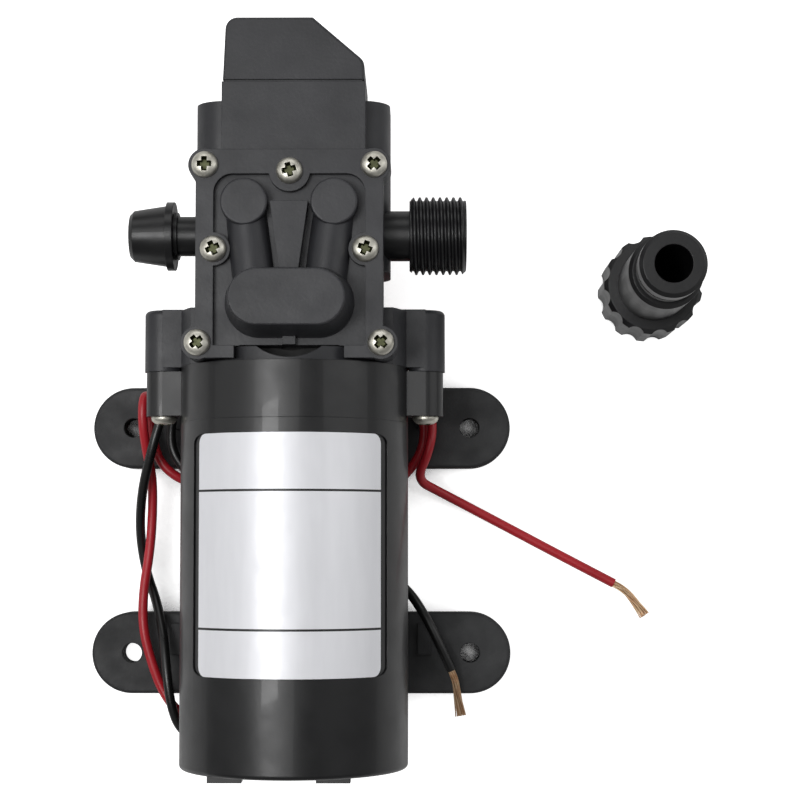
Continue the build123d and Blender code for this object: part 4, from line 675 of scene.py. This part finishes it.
def label_film():
    """The label as one film bedded in its shallow recess, with rounded corners."""
    columns = LABEL_COLUMNS
    turns = range(0, 91, CORNER_STEP)
    steps = [LABEL_CORNER * (1 - cos(radians(turn))) for turn in turns]
    places = [LABEL_FROM + d for d in steps] + [LABEL_TO - d for d in reversed(steps)]
    verts, faces = [], []
    for y in places:
        short = max(0, LABEL_CORNER - min(y - LABEL_FROM, LABEL_TO - y))
        half = LABEL_HALF - LABEL_CORNER + (LABEL_CORNER ** 2 - short ** 2) ** 0.5
        for radius in (LABEL_LOW, LABEL_HIGH):
            for k in range(columns + 1):
                turn = half * (2 * k / columns - 1) / LABEL_HIGH
                verts.append((radius * sin(turn), y, MOTOR_Z + radius * cos(turn)))
    wide = columns + 1
    on = 2 * wide  # from a row to the next
    for row in range(len(places) - 1):
        low, high = row * on, row * on + wide
        for k in range(columns):
            faces.append((high + k, high + k + 1, high + k + 1 + on, high + k + on))
            faces.append((low + k + 1, low + k, low + k + on, low + k + 1 + on))
        faces.append((low, high, high + on, low + on))
        low, high = low + columns, high + columns
        faces.append((high, low, low + on, high + on))
    end = (len(places) - 1) * on
    for k in range(columns):
        faces.append((k, k + 1, k + 1 + wide, k + wide))
        faces.append((end + k + 1, end + k, end + k + wide, end + k + 1 + wide))
    mesh = mesh_from("label_film", verts, faces)
    mesh.set_sharp_from_angle(angle=radians(SHARP))
    piece("label_film", mesh, "pump", "label_silver", "motor_label")


# Threaded port

THREAD_START, THREAD_END = 0.03145, 0.0467
CREST_R, ROOT_R, PITCH = 0.0104775, 0.00945, 0.001814
PORT_Y, PORT_Z = 0.082, 0.048
NECK_START, NECK_R, BORE_R = 0.020, 0.00675, 0.0045
MOUTH_R, MOUTH_DEPTH, THREAD_BEVEL = 0.0054, 0.0005, 0.0011
FLANK_FROM, FLANK_SLOPE = 1.5, 4  # the ridge's shape across one pitch
BARREL_COUNT, BARREL_ROWS = 120, 200


def thread_radius(x, turn):
    """The thread's radius at a place along the port and an angle round it."""
    phase = ((x - THREAD_START) / PITCH - turn / (2 * pi)) % 1
    rise = min(1, max(0, FLANK_FROM - abs(phase - 0.5) * FLANK_SLOPE))
    radius = ROOT_R + (CREST_R - ROOT_R) * rise
    ends = min(x - THREAD_START, THREAD_END - x)
    return min(radius, CREST_R - THREAD_BEVEL + ends)


def threaded_barrel():
    """The outlet fitting: neck, helical thread, mouth and bore in one closed mesh."""
    count, rows = BARREL_COUNT, BARREL_ROWS
    verts, faces, rings = [], [], []

    def ring(x, radius_at):
        start = len(verts)
        for k in range(count):
            turn = 2 * pi * k / count
            radius = radius_at(x, turn)
            verts.append((x, PORT_Y + radius * cos(turn), PORT_Z + radius * sin(turn)))
        rings.append(start)

    ring(NECK_START, lambda x, t: BORE_R)
    ring(NECK_START, lambda x, t: NECK_R)
    ring(THREAD_START, lambda x, t: NECK_R)
    for row in range(rows + 1):
        x = THREAD_START + (THREAD_END - THREAD_START) * row / rows
        ring(x, thread_radius)
    ring(THREAD_END, lambda x, t: MOUTH_R)
    ring(THREAD_END - MOUTH_DEPTH, lambda x, t: BORE_R)
    rings.append(rings[0])
    for a, b in zip(rings, rings[1:]):
        for k in range(count):
            n = (k + 1) % count
            faces.append((a + k, b + k, b + n, a + n))
    mesh = mesh_from("threaded_barrel", verts, faces)
    mesh.set_sharp_from_angle(angle=radians(SHARP))
    piece("threaded_barrel", mesh, "pump", "port_plastic", "threaded_port")


# Stage, light and camera

FLOOR_SIZE, FLOOR_DROP, FLOOR_LIFT = 6, 0.0001, 0.9
FLOOR_PAINTED_SHADE, FLOOR_PALE = grey(0.04), grey(0.86)
# How far the sky is looked for, and the shares of it that count as shut and as open
SKY_REACH, SKY_SHUT, SKY_OPEN = 0.15, 0.16, 0.32
LIT_HOLE, LIT_HOLE_R = (-0.04875, -0.0325, 0), 0.006  # the foot hole that is pale in the photo


def floor():
    """A pale sheet under the pump, white for the camera, with shade painted dark at the bottom of
    holes.
    """
    bpy.ops.mesh.primitive_plane_add(size=FLOOR_SIZE, location=(0, 0, -FLOOR_DROP))
    sheet = bpy.context.object
    sheet.name = "floor"
    mat, tree, shader = new_material("floor_white")
    shader.inputs["Roughness"].default_value = 0.9
    shader.inputs["Specular IOR Level"].default_value = 0.1
    shader.inputs["Emission Color"].default_value = grey(1)
    path = tree.nodes.new("ShaderNodeLightPath")
    clear = clear_of_holes(tree)
    # painted shade: where the floor is shut from the sky its colour goes dark and its lift for the
    # camera goes out
    tree.links.new(mixed(tree, clear, FLOOR_PAINTED_SHADE, FLOOR_PALE), shader.inputs["Base Color"])
    seen = maths(tree, "MULTIPLY", path.outputs["Is Camera Ray"], clear)
    lift = maths(tree, "MULTIPLY", seen, FLOOR_LIFT)
    tree.links.new(lift, shader.inputs["Emission Strength"])
    sheet.data.materials.append(mat)


def clear_of_holes(tree):
    """One on the open floor, nothing where only a narrow hole lets light reach it."""
    sky = tree.nodes.new("ShaderNodeAmbientOcclusion")
    sky.samples = 8
    sky.inputs["Distance"].default_value = SKY_REACH
    reach = tree.nodes.new("ShaderNodeMapRange")
    reach.inputs["From Min"].default_value = SKY_SHUT
    reach.inputs["From Max"].default_value = SKY_OPEN
    tree.links.new(sky.outputs["AO"], reach.inputs["Value"])
    coord = tree.nodes.new("ShaderNodeTexCoord")
    away = tree.nodes.new("ShaderNodeVectorMath")
    away.operation = "DISTANCE"
    away.inputs[1].default_value = LIT_HOLE
    tree.links.new(coord.outputs["Object"], away.inputs[0])
    # around this one foot hole no shade is painted
    near = maths(tree, "LESS_THAN", away.outputs["Value"], LIT_HOLE_R)
    return maths(tree, "MAXIMUM", reach.outputs["Result"], near)


def area(name, place, target, size, power):
    """A rectangular light that looks at a target."""
    data = bpy.data.lights.new(name, "AREA")
    data.shape = "RECTANGLE"
    data.size, data.size_y = size
    data.energy = power
    light = bpy.data.objects.new(name, data)
    bpy.context.scene.collection.objects.link(light)
    light.location = place
    look = Vector(target) - Vector(place)
    light.rotation_euler = look.to_track_quat("-Z", "Y").to_euler()


WORLD_STRENGTH = 0.2
LIGHTS = (  # name, place, target, size and power
    ("softbox_left", (-0.75, 0.15, 0.55), (0, 0.03, 0.03), (0.5, 0.9), 0.8),
    ("softbox_right", (0.80, 0.25, 0.60), (0.02, 0.03, 0.03), (0.5, 0.9), 1.5),
    ("softbox_head", (-0.05, 0.95, 0.60), (0, 0.06, 0.03), (1.1, 0.45), 2.0),
    ("panel_overhead", (-0.32, 0.15, 1.3), (0, 0.03, 0.0), (0.9, 1.0), 4.5),
    ("key_overhead", (-0.47, -0.01, 1.3), (0, 0.0, 0.0), (0.28, 0.38), 3.8),
)


def lights():
    """A dim white world, two lights overhead and three softboxes."""
    world = bpy.data.worlds.new("studio")
    bpy.context.scene.world = world
    world.use_nodes = True
    back = world.node_tree.nodes["Background"]
    back.inputs["Color"].default_value = grey(1)
    back.inputs["Strength"].default_value = WORLD_STRENGTH
    for row in LIGHTS:
        area(*row)


SENSOR_MM, IMAGE_PX, FOCAL_PX = 36, 800, 1951
TILT_X_PX, TILT_Y_PX = 100, 15  # how far the view's middle is turned off straight down
CAMERA_PLACE, CAMERA_SHIFT_Y, CLIP_START = (0.0329, 0, 0.572), 0.05, 0.01


def camera():
    """The photo's view: from above, a little ahead of and beside the middle."""
    data = bpy.data.cameras.new("view")
    data.sensor_width = SENSOR_MM
    data.lens = SENSOR_MM * FOCAL_PX / IMAGE_PX
    data.shift_y = CAMERA_SHIFT_Y
    data.clip_start = CLIP_START
    cam = bpy.data.objects.new("view", data)
    bpy.context.scene.collection.objects.link(cam)
    cam.location = CAMERA_PLACE
    cam.rotation_euler = (atan(TILT_X_PX / FOCAL_PX), atan(TILT_Y_PX / FOCAL_PX), 0)
    bpy.context.scene.camera = cam


camera()
leads()
paint_nodes()
screws()
label_film()
threaded_barrel()
floor()
lights()
bpy.context.scene.view_settings.view_transform = "Standard"
